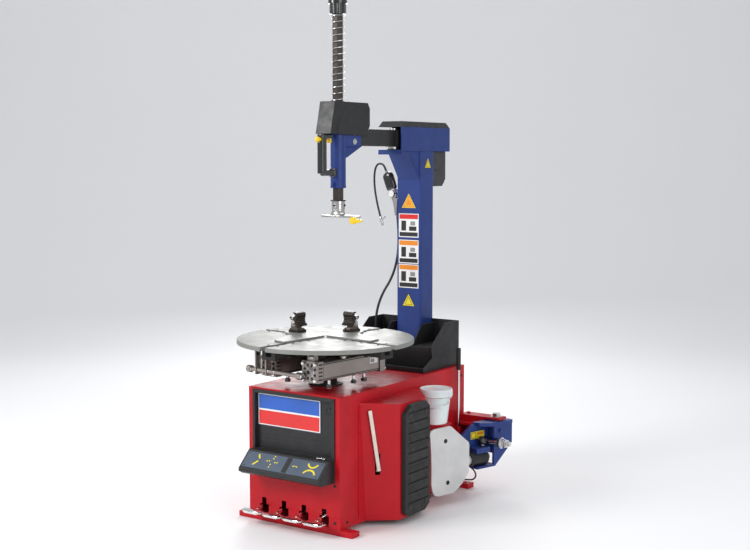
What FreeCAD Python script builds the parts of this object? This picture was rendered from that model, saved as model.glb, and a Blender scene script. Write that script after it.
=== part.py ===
"""Swing-arm tyre changer with a side bead breaker, as separate parts in millimetres.

Frame: X to the machine's right, Y from the operator's side to the rear, Z up.
The origin is on the floor, at the centre of the four anchor holes.
"""
import FreeCAD, Part
import math
import os

V = FreeCAD.Vector
UP = V(0, 0, 1)
ACROSS = V(1, 0, 0)
BACK = V(0, 1, 0)

# ---------------------------------------------------------------- driving dimensions
SIDE_X = 200.0            # half width of the cabinet
FRONT_Y = -412.0          # front face of the cabinet
REAR_Y = 419.0            # rear face of the cabinet
TOP_Z = 480.0             # top of the cabinet
SHEET = 3.0               # sheet metal thickness

CONSOLE_HALF = 180.0
CONSOLE_LOW = 182.0
CONSOLE_HIGH = 474.0
RECESS_Y = FRONT_Y + 12   # back wall of the console's recess
SHELF_SIDE = [(FRONT_Y - 5, 262), (FRONT_Y - 30, 262), (FRONT_Y - 88, 206), (FRONT_Y - 88, 194),
              (FRONT_Y - 70, 184), (FRONT_Y - 5, CONSOLE_LOW)]
SHELF_SLOPE = math.degrees(math.atan2(56, 58))

BULGE_X = 294.0           # outer face of the side box
BULGE_FRONT = (-260.0, -296.0)   # where its slanted face leaves the cabinet, at the bottom and top
BULGE_FACE = (-184.0, -18.0)     # outer face, front and rear edge
BULGE_REAR = 76.0
BULGE_TOP = 432.0
FACE_DIR = V(BULGE_X - SIDE_X, BULGE_FACE[0] - sum(BULGE_FRONT) / 2, 0).normalize()
FACE_ANGLE = math.degrees(math.atan2(FACE_DIR.y, FACE_DIR.x))
LEVER_SLOT = V(238, -240, 222)    # centre of the slot in the slanted face

FOOT_HALF = 251.0         # half length of each foot bar
FOOT_DEPTH = 44.0
FOOT_H = 19.0
ANCHOR_X = 450.0          # anchor hole spacing across
ANCHOR_Y = 780.0          # anchor hole spacing front to rear
ANCHOR_R = 7.0

TABLE_Y = -222.0          # turntable axis
TABLE_R = 317.0
TABLE_Z = 648.0           # top of the turntable
TABLE_T = 15.0
CHUCK_TURN = -6.0         # the chuck stands turned a little from square, degrees
SLOT_W = 26.0             # width of the four radial slots
JAW_R = 140.0             # radius of the jaws at rest, nearly closed

TABLE_CENTRE = V(0, TABLE_Y, 0)
CHUCK_LOW = 606.0
SLIDE_LOW = 612.0
CYL_X = 100.0
CYL_Y = TABLE_Y - 10      # middle of the clamp cylinders
CYL_Z = 558.0
CYL_HALF = 37.0
CYL_LEN = 356.0
CYL_FRONT = CYL_Y - CYL_LEN / 2
CYL_REAR = CYL_Y + CYL_LEN / 2

TRAY_HALF = 180.0
TRAY_FRONT = 150.0
TRAY_REAR = 411.0
TRAY_TOP = 655.0

COLUMN_HALF = 56.0
COLUMN_FRONT = 324.0
COLUMN_REAR = 418.0
HEAD_BOTTOM = 1313.0      # underside of the box on top of the column
HEAD_TOP = 1405.0
HEAD_HALF = 54.0
HEAD_FRONT = 191.0
HEAD_REAR = 543.0
PIVOT_Y = 216.0           # swing arm pivot
PIVOT_R = 16.0
ARM_LOW = 1331.0
ARM_HIGH = 1393.0
ARM_END_Y = -35.0         # where the arm's tube meets the head block

BAR_Y = -143.0            # axis of the hexagonal bar
BAR_FLATS = 36.0          # across flats
BAR_LOW = 1108.0
BAR_HIGH = 1826.0
SLEEVE_R = 27.5
SLEEVE_LOW = 1180.0
SLEEVE_HIGH = 1487.0
KNOB_LOW = 1795.0
SPRING_R = 26.5
SPRING_WIRE = 4.0

COVER_HALF = 33.0
COVER_SIDE = [(-206, 1487), (-2, 1487), (9, 1469), (9, 1407), (-3, 1366), (-233, 1372)]
HANDLE_Y = -239.0
HEAD_FOOT_Z = 1074.0      # underside of the mounting head

GEAR_Z0 = 280.0
MOTOR_Y = 60.0
GEAR_PULLEY_R = 60.0
MOTOR_PULLEY_R = 30.0
PULLEY_X = -130.0
WORM_Y = TABLE_Y + 45
WORM_Z = 330.0
MOTOR_Z = 200.0

BREAKER_PIVOT = V(345, 420, 0)
BREAKER_TURN = -16.0      # the breaker arm leans towards the cabinet, degrees from -Y
BRACKET_TOP = 290.0       # top face of the breaker arm's bracket
BRACKET_LOW = 150.0
BLADE_BAR_R = 20.0
BLADE_BAR_Z = 145.0
BLADE_NEAR = 178.0        # from the arm pivot to the blade's rear edge
BLADE_FAR = 384.0
ROD_Y = 368.0             # breaker cylinder's axis
ROD_Z = 202.0
ROD_R = 9.0

SLOT_XS = (-133.0, -44.0, 44.0, 132.0)   # pedal slots across the front
PEDAL_PIVOT = V(0, -190, 62)
PEDAL_SHAFT_R = 8.0
RUN_GAP = 0.05            # radial clearance of a running fit

BUCKET = V(263.5, 104, 0)
BUCKET_Z = 311.0          # top of the bucket's shelf
LEVER_ROD = V(222, 338, 0)
GUN = V(-98, 338, 1198)   # middle of the inflator's grip
GUN_TILT = -20.0

SUPPLY_R = 5.0
SUPPLY_ROUTE = [(-80, 362, 1150), (-80, 362, 1080), (-76, 369, 990), (-78, 368, 900), (-94, 352, 815),
                (-130, 322, 740), (-150, 312, 655), (-147, 314, 570), (-147, 314, 485)]
WHIP_R = 4.0
WHIP_ROUTE = [(-116.1, 338, 1236.1), (-124.3, 338, 1258.7), (-146.6, 340, 1267.7), (-168.1, 343, 1257.1),
              (-179.2, 346, 1218.7), (-177.1, 348, 1158.7), (-161.1, 346, 1094.7), (-145.7, 343, 1052.4)]
LOOP_R = 3.1
LOOP_ROUTE = [(200, 386, 90), (232, 386, 90), (260, 390, 78), (273, 395, 53), (258, 397, 32), (230, 396, 28),
              (201, 396, 28)]


# ---------------------------------------------------------------- helpers
def box(x0, x1, y0, y1, z0, z1):
    return Part.makeBox(x1 - x0, y1 - y0, z1 - z0, V(x0, y0, z0))


def rod(radius, start, end):
    axis = end - start
    return Part.makeCylinder(radius, axis.Length, start, axis)


def tube(outer, inner, start, end):
    return rod(outer, start, end).cut(rod(inner, start, end))


def cone(r0, r1, start, end):
    axis = end - start
    return Part.makeCone(r0, r1, axis.Length, start, axis)


def prism(points, extrude):
    """A polygon given by its corner points, pushed along a vector."""
    loop = [V(*p) for p in points]
    return Part.Face(Part.makePolygon(loop + loop[:1])).extrude(extrude)


def side_plate(profile, x0, x1):
    """A (y, z) outline pushed across from x0 to x1."""
    return prism([(x0, y, z) for y, z in profile], V(x1 - x0, 0, 0))


def plan_plate(profile, z0, z1):
    """An (x, y) outline pushed up from z0 to z1."""
    return prism([(x, y, z0) for x, y in profile], V(0, 0, z1 - z0))


def hexagon(flats, centre, z0, z1):
    """Hexagonal prism with two flats facing front and rear."""
    reach = flats / math.sqrt(3)
    corners = [60 * i for i in range(6)]
    outline = [(centre.x + reach * math.cos(math.radians(a)),
                centre.y + reach * math.sin(math.radians(a))) for a in corners]
    return plan_plate(outline, z0, z1)


def join(shapes):
    whole = shapes[0].multiFuse(shapes[1:])
    return whole.removeSplitter()


def oval(centre, half_x, half_y):
    """Level ellipse as a closed wire; half_x is at least half_y."""
    if half_x == half_y:
        return Part.Wire([Part.Circle(centre, UP, half_x).toShape()])
    return Part.Wire([Part.Ellipse(centre + V(half_x, 0, 0), centre + V(0, half_y, 0), centre).toShape()])


def rounded(shape, radius, pick):
    """Round the edges whose middle point satisfies pick(point)."""
    edges = [e for e in shape.Edges if pick(e.CenterOfMass)]
    return shape.makeFillet(radius, edges)


def vertical_edges(shape):
    return [e for e in shape.Edges
            if abs(e.tangentAt(e.FirstParameter).z) > 0.99 and len(e.Vertexes) == 2]


def round_box(x0, x1, y0, y1, z0, z1, radius):
    """A box with its four vertical edges rounded."""
    solid = box(x0, x1, y0, y1, z0, z1)
    return solid.makeFillet(radius, vertical_edges(solid))


def turned(shape, angle, about, axis=UP):
    copy = shape.copy()
    copy.rotate(about, axis, angle)
    return copy


def route_tube(points, radius, name):
    """Round tube along straight runs joined by tangent arcs, as large as the runs allow."""
    pts = [V(*p) for p in points]
    edges = []
    start = pts[0]
    radii = []
    for before, corner, after in zip(pts, pts[1:], pts[2:]):
        d_in = (corner - before).normalize()
        d_out = (after - corner).normalize()
        turn = d_in.getAngle(d_out)
        shorter = min((corner - before).Length, (after - corner).Length)
        cut = 0.45 * shorter
        arc_r = cut / math.tan(turn / 2)
        radii.append(round(arc_r, 1))
        first = corner - d_in * cut
        last = corner + d_out * cut
        to_middle = (d_out - d_in).normalize()
        centre_gap = arc_r / math.cos(turn / 2)
        middle = corner + to_middle * (centre_gap - arc_r)
        edges.append(Part.LineSegment(start, first).toShape())
        edges.append(Part.Arc(first, middle, last).toShape())
        start = last
    edges.append(Part.LineSegment(start, pts[-1]).toShape())
    path = Part.Wire(edges)
    profile = Part.Wire([Part.Circle(pts[0], pts[1] - pts[0], radius).toShape()])
    solid = path.makePipeShell([profile], True, False)
    expected = math.pi * radius ** 2 * path.Length
    print(name, "length", round(path.Length, 1), "radii", radii,
          "volume ratio", round(solid.Volume / expected, 4))
    return solid


# ---------------------------------------------------------------- base and cabinet
def make_base_frame():
    """Two foot bars with anchor holes, joined by the cabinet's floor tray."""
    front = box(-FOOT_HALF, FOOT_HALF, FRONT_Y, FRONT_Y + FOOT_DEPTH, 0, FOOT_H)
    rear_low = ANCHOR_Y / 2 - FOOT_DEPTH / 2
    rear = box(-FOOT_HALF, FOOT_HALF, rear_low, rear_low + FOOT_DEPTH, 0, FOOT_H)
    inner_x = SIDE_X - SHEET
    floor = box(-inner_x, inner_x, FRONT_Y + SHEET, REAR_Y - SHEET, FOOT_H, FOOT_H + 4)
    runners = [box(x - 15, x + 15, FRONT_Y + FOOT_DEPTH, rear_low, 8, FOOT_H + 1)
               for x in (-150, 150)]
    frame = join([front, rear, floor] + runners)
    holes = [rod(ANCHOR_R, V(x, y, -1), V(x, y, FOOT_H + 1))
             for x in (-ANCHOR_X / 2, ANCHOR_X / 2) for y in (-ANCHOR_Y / 2, ANCHOR_Y / 2)]
    return frame.cut(Part.makeCompound(holes))


def pedal_slot(x):
    """Keyhole slot: narrow above, wide below."""
    low = box(x - 20, x + 20, FRONT_Y - 5, FRONT_Y + 10, 24, 62)
    high = box(x - 10, x + 10, FRONT_Y - 5, FRONT_Y + 10, 61, 86)
    return low.fuse(high)


def make_cabinet_shell():
    """Folded sheet cabinet, open underneath and on its left side."""
    outer = box(-SIDE_X, SIDE_X, FRONT_Y, REAR_Y, FOOT_H, TOP_Z)
    inner = box(-SIDE_X - 1, SIDE_X - SHEET, FRONT_Y + SHEET, REAR_Y - SHEET,
                FOOT_H - 1, TOP_Z - SHEET)
    shell = outer.cut(inner)
    flange_front = box(-SIDE_X, -SIDE_X + 25, FRONT_Y, FRONT_Y + SHEET, FOOT_H, TOP_Z)
    shell = shell.fuse(flange_front)
    cuts = [pedal_slot(x) for x in SLOT_XS]
    cuts.append(box(-CONSOLE_HALF + 6, CONSOLE_HALF - 6, FRONT_Y - 5, FRONT_Y + 10,
                    CONSOLE_LOW + 4, CONSOLE_HIGH - 6))
    cuts.append(rod(62, V(0, TABLE_Y, TOP_Z - 20), V(0, TABLE_Y, TOP_Z + 5)))
    cuts.append(rod(ROD_R + 6, V(SIDE_X - 20, ROD_Y, ROD_Z), V(SIDE_X + 20, ROD_Y, ROD_Z)))
    cuts.append(box(-10, 10, COLUMN_FRONT + 20, COLUMN_REAR - 20, TOP_Z - 20, TOP_Z + 5))
    side_hole = side_plate([(-270, 60), (-60, 60), (-60, 380), (-270, 380)], SIDE_X - 10, SIDE_X + 5)
    cuts.append(side_hole)
    shell = shell.cut(Part.makeCompound(cuts))
    slots = [box(-60, 60, REAR_Y - 10, REAR_Y + 5, 110 + 22 * i, 118 + 22 * i) for i in range(6)]
    return shell.cut(Part.makeCompound(slots))


def make_left_panel():
    """Removable service panel that closes the left side."""
    panel = box(-SIDE_X, -SIDE_X + 2, FRONT_Y + SHEET, REAR_Y - SHEET, FOOT_H + 4, TOP_Z - SHEET)
    returns = [box(-SIDE_X + 2, -SIDE_X + 18, y, y + 2, FOOT_H + 6, TOP_Z - SHEET - 2)
               for y in (FRONT_Y + SHEET, REAR_Y - SHEET - 2)]
    louvres = [box(-SIDE_X - 1, -SIDE_X + 3, -60, 60, 300 + 20 * i, 306 + 20 * i) for i in range(5)]
    return join([panel] + returns).cut(Part.makeCompound(louvres))


# ---------------------------------------------------------------- side box and wheel rest


def bulge_solid(inset):
    """Side box as a solid, drawn in by inset on its outer faces."""
    def section(z, front, face_x):
        corners = [(SIDE_X, front + inset), (face_x - inset, BULGE_FACE[0] + inset * 0.4),
                   (face_x - inset, BULGE_FACE[1] - inset * 0.4), (SIDE_X, BULGE_REAR - inset)]
        loop = [V(x, y, z) for x, y in corners]
        return Part.makePolygon(loop + loop[:1])
    low = section(FOOT_H, BULGE_FRONT[0], BULGE_X)
    high = section(BULGE_TOP - inset, BULGE_FRONT[1], BULGE_X)
    body = Part.makeLoft([low, high], True, True)
    ridge_z = TOP_Z - 36 - inset
    roof = prism([(SIDE_X, BULGE_FRONT[1] + inset, BULGE_TOP - inset),
                  (BULGE_X - inset, BULGE_FACE[0] + inset * 0.4, BULGE_TOP - inset),
                  (BULGE_X - inset, BULGE_FACE[1] - inset * 0.4, BULGE_TOP - inset),
                  (SIDE_X, BULGE_REAR - inset, BULGE_TOP - inset)], V(0, 0, 40))
    wedge = prism([(SIDE_X, BULGE_FRONT[1] - 5, BULGE_TOP - inset - 1),
                   (BULGE_X + 5, BULGE_FRONT[1] - 5, BULGE_TOP - inset - 1),
                   (SIDE_X, BULGE_FRONT[1] - 5, ridge_z)], V(0, 400, 0))
    return body, roof.common(wedge)


def make_side_box():
    """Pressed box on the right side that holds the wheel rest, with a lever slot."""
    body, roof = bulge_solid(0)
    inner_body, inner_roof = bulge_solid(SHEET)
    outer = body.fuse(roof).removeSplitter()
    inner = inner_body.fuse(inner_roof)
    shell = outer.cut(inner)
    flange = side_plate([(BULGE_FRONT[1] - 8, 40), (BULGE_FRONT[1] - 8, 436),
                         (BULGE_FRONT[1] + 12, 436), (BULGE_FRONT[0] + 12, 40)], SIDE_X, SIDE_X + 2)
    shell = shell.fuse(flange)
    slot = box(-9, 9, -30, 30, -38, 38)
    slot.rotate(V(0, 0, 0), UP, FACE_ANGLE)
    slot.translate(LEVER_SLOT)
    return shell.cut(slot).removeSplitter()


def make_wheel_rest():
    """Thick ribbed rubber pad that the wheel leans on."""
    y0, y1 = BULGE_FACE[0] + 8, BULGE_FACE[1] + 2
    z0, z1 = 28.0, 424.0
    outline = [(y0, z0 + 14), (y0 + 22, z0), (y1 - 30, z0), (y1, z0 + 22), (y1, z1 - 22),
               (y1 - 24, z1), (y0 + 40, z1), (y0, z1 - 30)]
    pad = side_plate(outline, BULGE_X, BULGE_X + 20)
    grooves = [box(BULGE_X + 15, BULGE_X + 21, y0 + 18, y1 - 12, z, z + 5)
               for z in range(70, 410, 36)]
    return pad.cut(Part.makeCompound(grooves))


def make_tyre_lever():
    """Flat steel lever that lies on the slanted face, hung by a tang in the slot.

    It is drawn with its width along X, its thickness along Y and its length along Z.
    """
    bar = round_box(-7, 7, -11, -5, -22, 198, 2.4)
    bar = bar.makeFillet(2.2, [e for e in bar.Edges if e.CenterOfMass.z > 197 and e.Length > 5])
    bar = turned(bar, 2.8, V(0, 0, 0), ACROSS)
    bar = turned(bar, -9, V(0, 0, 0), BACK)
    tang = box(-5, 5, -6, 12, -24, -12)
    lever = join([bar, tang])
    lever.rotate(V(0, 0, 0), UP, FACE_ANGLE)
    lever.translate(LEVER_SLOT)
    return lever


# ---------------------------------------------------------------- console
def make_console():
    """Black plastic housing: framed recess above, sloping shelf below, open at the back."""
    front = FRONT_Y - 5
    frame = box(-CONSOLE_HALF, CONSOLE_HALF, front, FRONT_Y, CONSOLE_LOW, CONSOLE_HIGH)
    tub = box(-CONSOLE_HALF + 7, CONSOLE_HALF - 7, FRONT_Y - 1, FRONT_Y + 28, CONSOLE_LOW + 5, CONSOLE_HIGH - 7)
    shelf = side_plate(SHELF_SIDE, -176, 176)
    recess = box(-169, 167, front - 1, RECESS_Y, 262, 461)
    inside = side_plate([(FRONT_Y + 29, 190), (FRONT_Y + 29, 464), (RECESS_Y + 4, 464), (RECESS_Y + 4, 250),
                         (FRONT_Y - 28, 250), (FRONT_Y - 80, 202), (FRONT_Y - 80, 196), (FRONT_Y - 62, 190)],
                        -169, 169)
    return join([frame, tub, shelf]).cut(recess).cut(inside)


def make_pictogram_panel():
    """Thin plate on the sloping shelf."""
    plate = box(-168, 168, 8, 72, 0, 1.5)
    plate.rotate(V(0, 0, 0), ACROSS, SHELF_SLOPE)
    plate.translate(V(0, FRONT_Y - 88, 206))
    return plate


def make_badge_panel():
    """Blank two-colour plate in the console's recess."""
    plate = box(-166, 112, RECESS_Y - 2, RECESS_Y, 344, 460)
    corners = [e for e in plate.Edges if abs(e.tangentAt(e.FirstParameter).y) > 0.99]
    return plate.makeFillet(5, corners)


# ---------------------------------------------------------------- tray and column
def make_tool_tray():
    """Moulded tray round the column's foot: two stepped shelves with slanted cheeks."""
    cheek = [(TRAY_FRONT, TOP_Z), (TRAY_FRONT, TOP_Z + 18), (214, TOP_Z + 50), (204, 573),
             (308, TRAY_TOP), (TRAY_REAR, TRAY_TOP), (TRAY_REAR, TOP_Z)]
    cheeks = [side_plate(cheek, x, x + 5) for x in (-TRAY_HALF, TRAY_HALF - 5)]
    divider = [(232, 560), (308, TRAY_TOP - 12), (TRAY_REAR, TRAY_TOP - 12), (TRAY_REAR, 560)]
    dividers = [side_plate(divider, x, x + 4) for x in (-74, 70)]
    floor = [box(-TRAY_HALF, TRAY_HALF, TRAY_FRONT, TRAY_FRONT + 5, TOP_Z, TOP_Z + 18),
             box(-TRAY_HALF, TRAY_HALF, TRAY_FRONT, 232, TOP_Z, TOP_Z + 5),
             box(-TRAY_HALF, TRAY_HALF, 228, 233, TOP_Z, 565),
             box(-TRAY_HALF, TRAY_HALF, 228, TRAY_REAR, 560, 565),
             box(-TRAY_HALF, TRAY_HALF, TRAY_REAR - 5, TRAY_REAR, TOP_Z, TRAY_TOP)]
    column_gap = box(-COLUMN_HALF, COLUMN_HALF, COLUMN_FRONT, COLUMN_REAR, TOP_Z - 1, 1000)
    hose_x, hose_y = SUPPLY_ROUTE[-1][:2]
    hose_gap = rod(9, V(hose_x, hose_y, 540), V(hose_x, hose_y, 580))
    return join(cheeks + dividers + floor).cut(column_gap).cut(hose_gap)


def make_column():
    """Square tube post with a foot flange inside the tray and a wedge under the head."""
    tube_outer = round_box(-COLUMN_HALF, COLUMN_HALF, COLUMN_FRONT, COLUMN_REAR, TOP_Z, HEAD_BOTTOM, 8)
    bore = round_box(-COLUMN_HALF + 5, COLUMN_HALF - 5, COLUMN_FRONT + 5, COLUMN_REAR - 5,
                     TOP_Z - 1, HEAD_BOTTOM + 1, 4)
    post = tube_outer.cut(bore)
    wedge = side_plate([(HEAD_FRONT + 54, HEAD_BOTTOM), (COLUMN_FRONT + 4, 1198),
                        (COLUMN_FRONT + 4, HEAD_BOTTOM)], -48, 48)
    inner = side_plate([(HEAD_FRONT + 64, HEAD_BOTTOM), (COLUMN_FRONT, 1212),
                        (COLUMN_FRONT, HEAD_BOTTOM)], -43, 43)
    foot = box(-COLUMN_HALF - 30, COLUMN_HALF + 30, COLUMN_FRONT - 40, COLUMN_REAR - 14, TOP_Z, TOP_Z + 10)
    foot = foot.cut(box(-COLUMN_HALF + 5, COLUMN_HALF - 5, COLUMN_FRONT + 5, COLUMN_REAR - 5, 400, 600))
    return join([post, wedge.cut(inner), foot])


def make_column_head():
    """Folded box on the column; its front and left side are open so that the arm can swing."""
    outer = box(-HEAD_HALF, HEAD_HALF, HEAD_FRONT, HEAD_REAR, HEAD_BOTTOM, HEAD_TOP)
    inner = box(-HEAD_HALF + 5, HEAD_HALF - 5, HEAD_FRONT - 1, HEAD_REAR - 5,
                HEAD_BOTTOM + 6, HEAD_TOP + 1)
    shell = outer.cut(inner)
    window = box(-HEAD_HALF - 1, -HEAD_HALF + 6, HEAD_FRONT - 1, 286, HEAD_BOTTOM + 6, HEAD_TOP + 1)
    hole = rod(PIVOT_R, V(0, PIVOT_Y, HEAD_BOTTOM - 1), V(0, PIVOT_Y, HEAD_BOTTOM + 8))
    return shell.cut(window).cut(hole)


def make_column_cap():
    """Black lid with bevelled edges that closes the head."""
    base = [(-HEAD_HALF, HEAD_FRONT), (HEAD_HALF, HEAD_FRONT), (HEAD_HALF, HEAD_REAR), (-HEAD_HALF, HEAD_REAR)]
    top_in = 12

    def loop(inset, z):
        signs = [(1, 1), (-1, 1), (-1, -1), (1, -1)]
        pts = [V(x + sx * inset, y + sy * inset, z) for (x, y), (sx, sy) in zip(base, signs)]
        return Part.makePolygon(pts + pts[:1])
    outer = Part.makeLoft([loop(0, HEAD_TOP), loop(top_in, HEAD_TOP + 22)], True, True)
    inner = Part.makeLoft([loop(4, HEAD_TOP - 0.1), loop(top_in + 3, HEAD_TOP + 18)], True, True)
    return outer.cut(inner)


def make_rear_cover():
    """Cover behind the column, under the head."""
    profile = [(COLUMN_REAR, HEAD_BOTTOM), (COLUMN_REAR, 1176), (500, 1176), (524, 1204), (524, HEAD_BOTTOM)]
    inside = [(COLUMN_REAR - 1, HEAD_BOTTOM + 1), (COLUMN_REAR - 1, 1180), (498, 1180), (520, 1206),
              (520, HEAD_BOTTOM + 1)]
    return side_plate(profile, -46, 46).cut(side_plate(inside, -42, 42))


# ---------------------------------------------------------------- swing arm and tool head
def make_arm_pivot():
    pin = rod(PIVOT_R, V(0, PIVOT_Y, HEAD_BOTTOM - 6), V(0, PIVOT_Y, 1400))
    washer = rod(24, V(0, PIVOT_Y, HEAD_BOTTOM - 6), V(0, PIVOT_Y, HEAD_BOTTOM))
    spacer = tube(22, PIVOT_R, V(0, PIVOT_Y, HEAD_BOTTOM + 6), V(0, PIVOT_Y, 1330.6))
    return join([pin, washer, spacer])


def make_swing_arm():
    """Square tube with a hub that turns on the pivot pin."""
    bar = box(-25, 25, ARM_END_Y, PIVOT_Y, ARM_LOW, ARM_HIGH)
    hollow = box(-20, 20, ARM_END_Y - 1, PIVOT_Y - 34, ARM_LOW + 5, ARM_HIGH - 5)
    hub = rod(32, V(0, PIVOT_Y, ARM_LOW), V(0, PIVOT_Y, ARM_HIGH))
    bore = rod(PIVOT_R + RUN_GAP, V(0, PIVOT_Y, ARM_LOW - 1), V(0, PIVOT_Y, ARM_HIGH + 1))
    return join([bar.cut(hollow), hub]).cut(bore)


def make_head_sleeve():
    """Guide tube of the hexagonal bar, with its block and gusset to the arm."""
    body = rod(SLEEVE_R, V(0, BAR_Y, SLEEVE_LOW), V(0, BAR_Y, SLEEVE_HIGH))
    block = box(-25, 25, BAR_Y, ARM_END_Y, ARM_LOW, ARM_HIGH)
    gusset = side_plate([(BAR_Y + 20, ARM_LOW + 1), (BAR_Y + 20, 1285), (BAR_Y + 40, 1288),
                         (ARM_END_Y + 30, ARM_LOW), (ARM_END_Y, ARM_LOW + 1)], -9, 9)
    fin = side_plate([(BAR_Y - 40, 1192), (BAR_Y - 34, 1203), (BAR_Y - 20, 1203), (BAR_Y - 20, 1181),
                      (BAR_Y - 36, 1184)], -4, 4)
    bore = hexagon(BAR_FLATS + 2 * RUN_GAP, V(0, BAR_Y, 0), SLEEVE_LOW - 1, SLEEVE_HIGH + 1)
    gusset_top = box(-9.5, 9.5, ARM_END_Y, ARM_END_Y + 40, ARM_LOW, ARM_LOW + 10)
    return join([body, block, gusset, fin]).cut(bore).cut(gusset_top)


def make_head_cover():
    """Black cover over the lock of the hexagonal bar, open underneath and at the back."""
    outer = side_plate(COVER_SIDE, -COVER_HALF, COVER_HALF)
    inside = [(-203, 1484), (-3, 1484), (6, 1468), (6, 1350), (-229, 1350)]
    inner = side_plate(inside, -COVER_HALF + 3, COVER_HALF - 3)
    arm_way = box(-25.4, 25.4, -20, 20, 1300, ARM_HIGH + 0.4)
    top_hole = rod(SLEEVE_R, V(0, BAR_Y, 1470), V(0, BAR_Y, 1500))
    raised = side_plate([(-190, 1372), (-190, 1400), (-172, 1432), (-130, 1462), (-80, 1478), (-6, 1480),
                         (4, 1466), (4, 1408), (-6, 1372)], COVER_HALF, COVER_HALF + 2)
    return join([outer.cut(inner), raised]).cut(arm_way).cut(top_hole)


def make_handle():
    """Grip in front of the sleeve, from the cover down to a foot on the sleeve."""
    grip = round_box(-14, 14, HANDLE_Y - 15, HANDLE_Y + 15, 1232, 1371, 9)
    foot = box(-10, 10, HANDLE_Y, BAR_Y, 1224, 1246)
    foot = rounded(foot, 6, lambda p: abs(abs(p.x) - 10) < 0.1 and abs(p.y - (HANDLE_Y + BAR_Y) / 2) < 1)
    top = box(-12, 12, HANDLE_Y, HANDLE_Y + 50, 1356, 1371)
    heel = box(-13, 13, BAR_Y - SLEEVE_R - 9, BAR_Y, 1220, 1250)
    body = join([grip, foot, top, heel]).cut(rod(SLEEVE_R, V(0, BAR_Y, 1200), V(0, BAR_Y, 1260)))
    button_bore = rod(8.0, V(0, HANDLE_Y - 20, 1352), V(0, HANDLE_Y - 3, 1352))
    return body.cut(button_bore)


def make_lock_button():
    """Yellow push button at the top of the grip; it locks the bar and the arm."""
    stem = rod(7.6, V(0, HANDLE_Y - 23, 1352), V(0, HANDLE_Y - 9, 1352))
    cap = Part.makeSphere(10, V(0, HANDLE_Y - 26, 1352))
    face = box(-20, 20, HANDLE_Y - 60, HANDLE_Y - 21, 1330, 1380)
    return stem.fuse(cap.common(face))


def make_hex_bar():
    return hexagon(BAR_FLATS, V(0, BAR_Y, 0), BAR_LOW, BAR_HIGH)


def make_spring():
    """Return spring round the bar, as the plain tube that it fills."""
    return tube(SPRING_R, SPRING_R - SPRING_WIRE, V(0, BAR_Y, SLEEVE_HIGH), V(0, BAR_Y, KNOB_LOW))


def make_top_knob():
    body = rod(30, V(0, BAR_Y, KNOB_LOW), V(0, BAR_Y, 1834))
    rim = rod(34.5, V(0, BAR_Y, 1832), V(0, BAR_Y, 1844))
    knob = body.fuse(rim)
    flutes = []
    for i in range(12):
        angle = math.radians(30 * i)
        x, y = 32.5 * math.cos(angle), BAR_Y + 32.5 * math.sin(angle)
        flutes.append(rod(4.5, V(x, y, KNOB_LOW - 1), V(x, y, 1831)))
    socket = hexagon(BAR_FLATS, V(0, BAR_Y, 0), KNOB_LOW - 1, BAR_HIGH)
    return knob.cut(Part.makeCompound(flutes)).cut(socket).removeSplitter()


def make_mount_head():
    """Steel mounting head: clamp collar on the bar, curved foot with a hooked nose."""
    collar = rod(24, V(0, BAR_Y, 1102), V(0, BAR_Y, 1135))
    foot_plan = [(-70, BAR_Y - 10), (-56, BAR_Y - 22), (-24, BAR_Y - 31), (30, BAR_Y - 30), (56, BAR_Y - 20),
                 (62, BAR_Y - 2), (94, BAR_Y - 2), (95, BAR_Y + 6), (70, BAR_Y + 13), (36, BAR_Y + 16),
                 (-20, BAR_Y + 17), (-62, BAR_Y + 4)]
    foot = plan_plate(foot_plan, HEAD_FOOT_Z, HEAD_FOOT_Z + 9)
    flare = Part.makeLoft([oval(V(2, BAR_Y - 8, HEAD_FOOT_Z + 8), 50, 22), oval(V(2, BAR_Y - 5, 1089), 29, 19),
                           oval(V(0, BAR_Y, 1105), 22.5, 22.4)], True, False)
    pocket = hexagon(BAR_FLATS, V(0, BAR_Y, 0), BAR_LOW, 1200)
    return join([collar, foot, flare]).cut(pocket)


def make_head_insert():
    """Yellow plastic guard clipped on the end of the mounting head."""
    bead = rod(12.5, V(76, BAR_Y - 21, HEAD_FOOT_Z - 9), V(76, BAR_Y - 2, HEAD_FOOT_Z - 9))
    tail = prism([(80, BAR_Y - 19, HEAD_FOOT_Z - 19), (98, BAR_Y - 19, HEAD_FOOT_Z - 17),
                  (113, BAR_Y - 19, HEAD_FOOT_Z - 12), (113, BAR_Y - 19, HEAD_FOOT_Z - 7),
                  (98, BAR_Y - 19, HEAD_FOOT_Z - 3), (80, BAR_Y - 19, HEAD_FOOT_Z - 1)], V(0, 13, 0))
    return bead.fuse(tail).removeSplitter()


# ---------------------------------------------------------------- turntable and chuck
def chuck_turned(shape):
    return turned(shape, CHUCK_TURN, TABLE_CENTRE)


def make_turntable_plate():
    """Round plate with four radial slots."""
    disc = rod(TABLE_R, V(0, TABLE_Y, TABLE_Z - TABLE_T), V(0, TABLE_Y, TABLE_Z))
    disc = rounded(disc, 3, lambda p: p.z > TABLE_Z - 1 and abs(p.y - TABLE_Y) < 1)
    slots = []
    for i in range(4):
        slot = box(70, TABLE_R + 5, TABLE_Y - SLOT_W / 2, TABLE_Y + SLOT_W / 2, TABLE_Z - 30, TABLE_Z + 5)
        slots.append(turned(slot, 90 * i, TABLE_CENTRE))
    return chuck_turned(disc.cut(Part.makeCompound(slots)))


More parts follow.
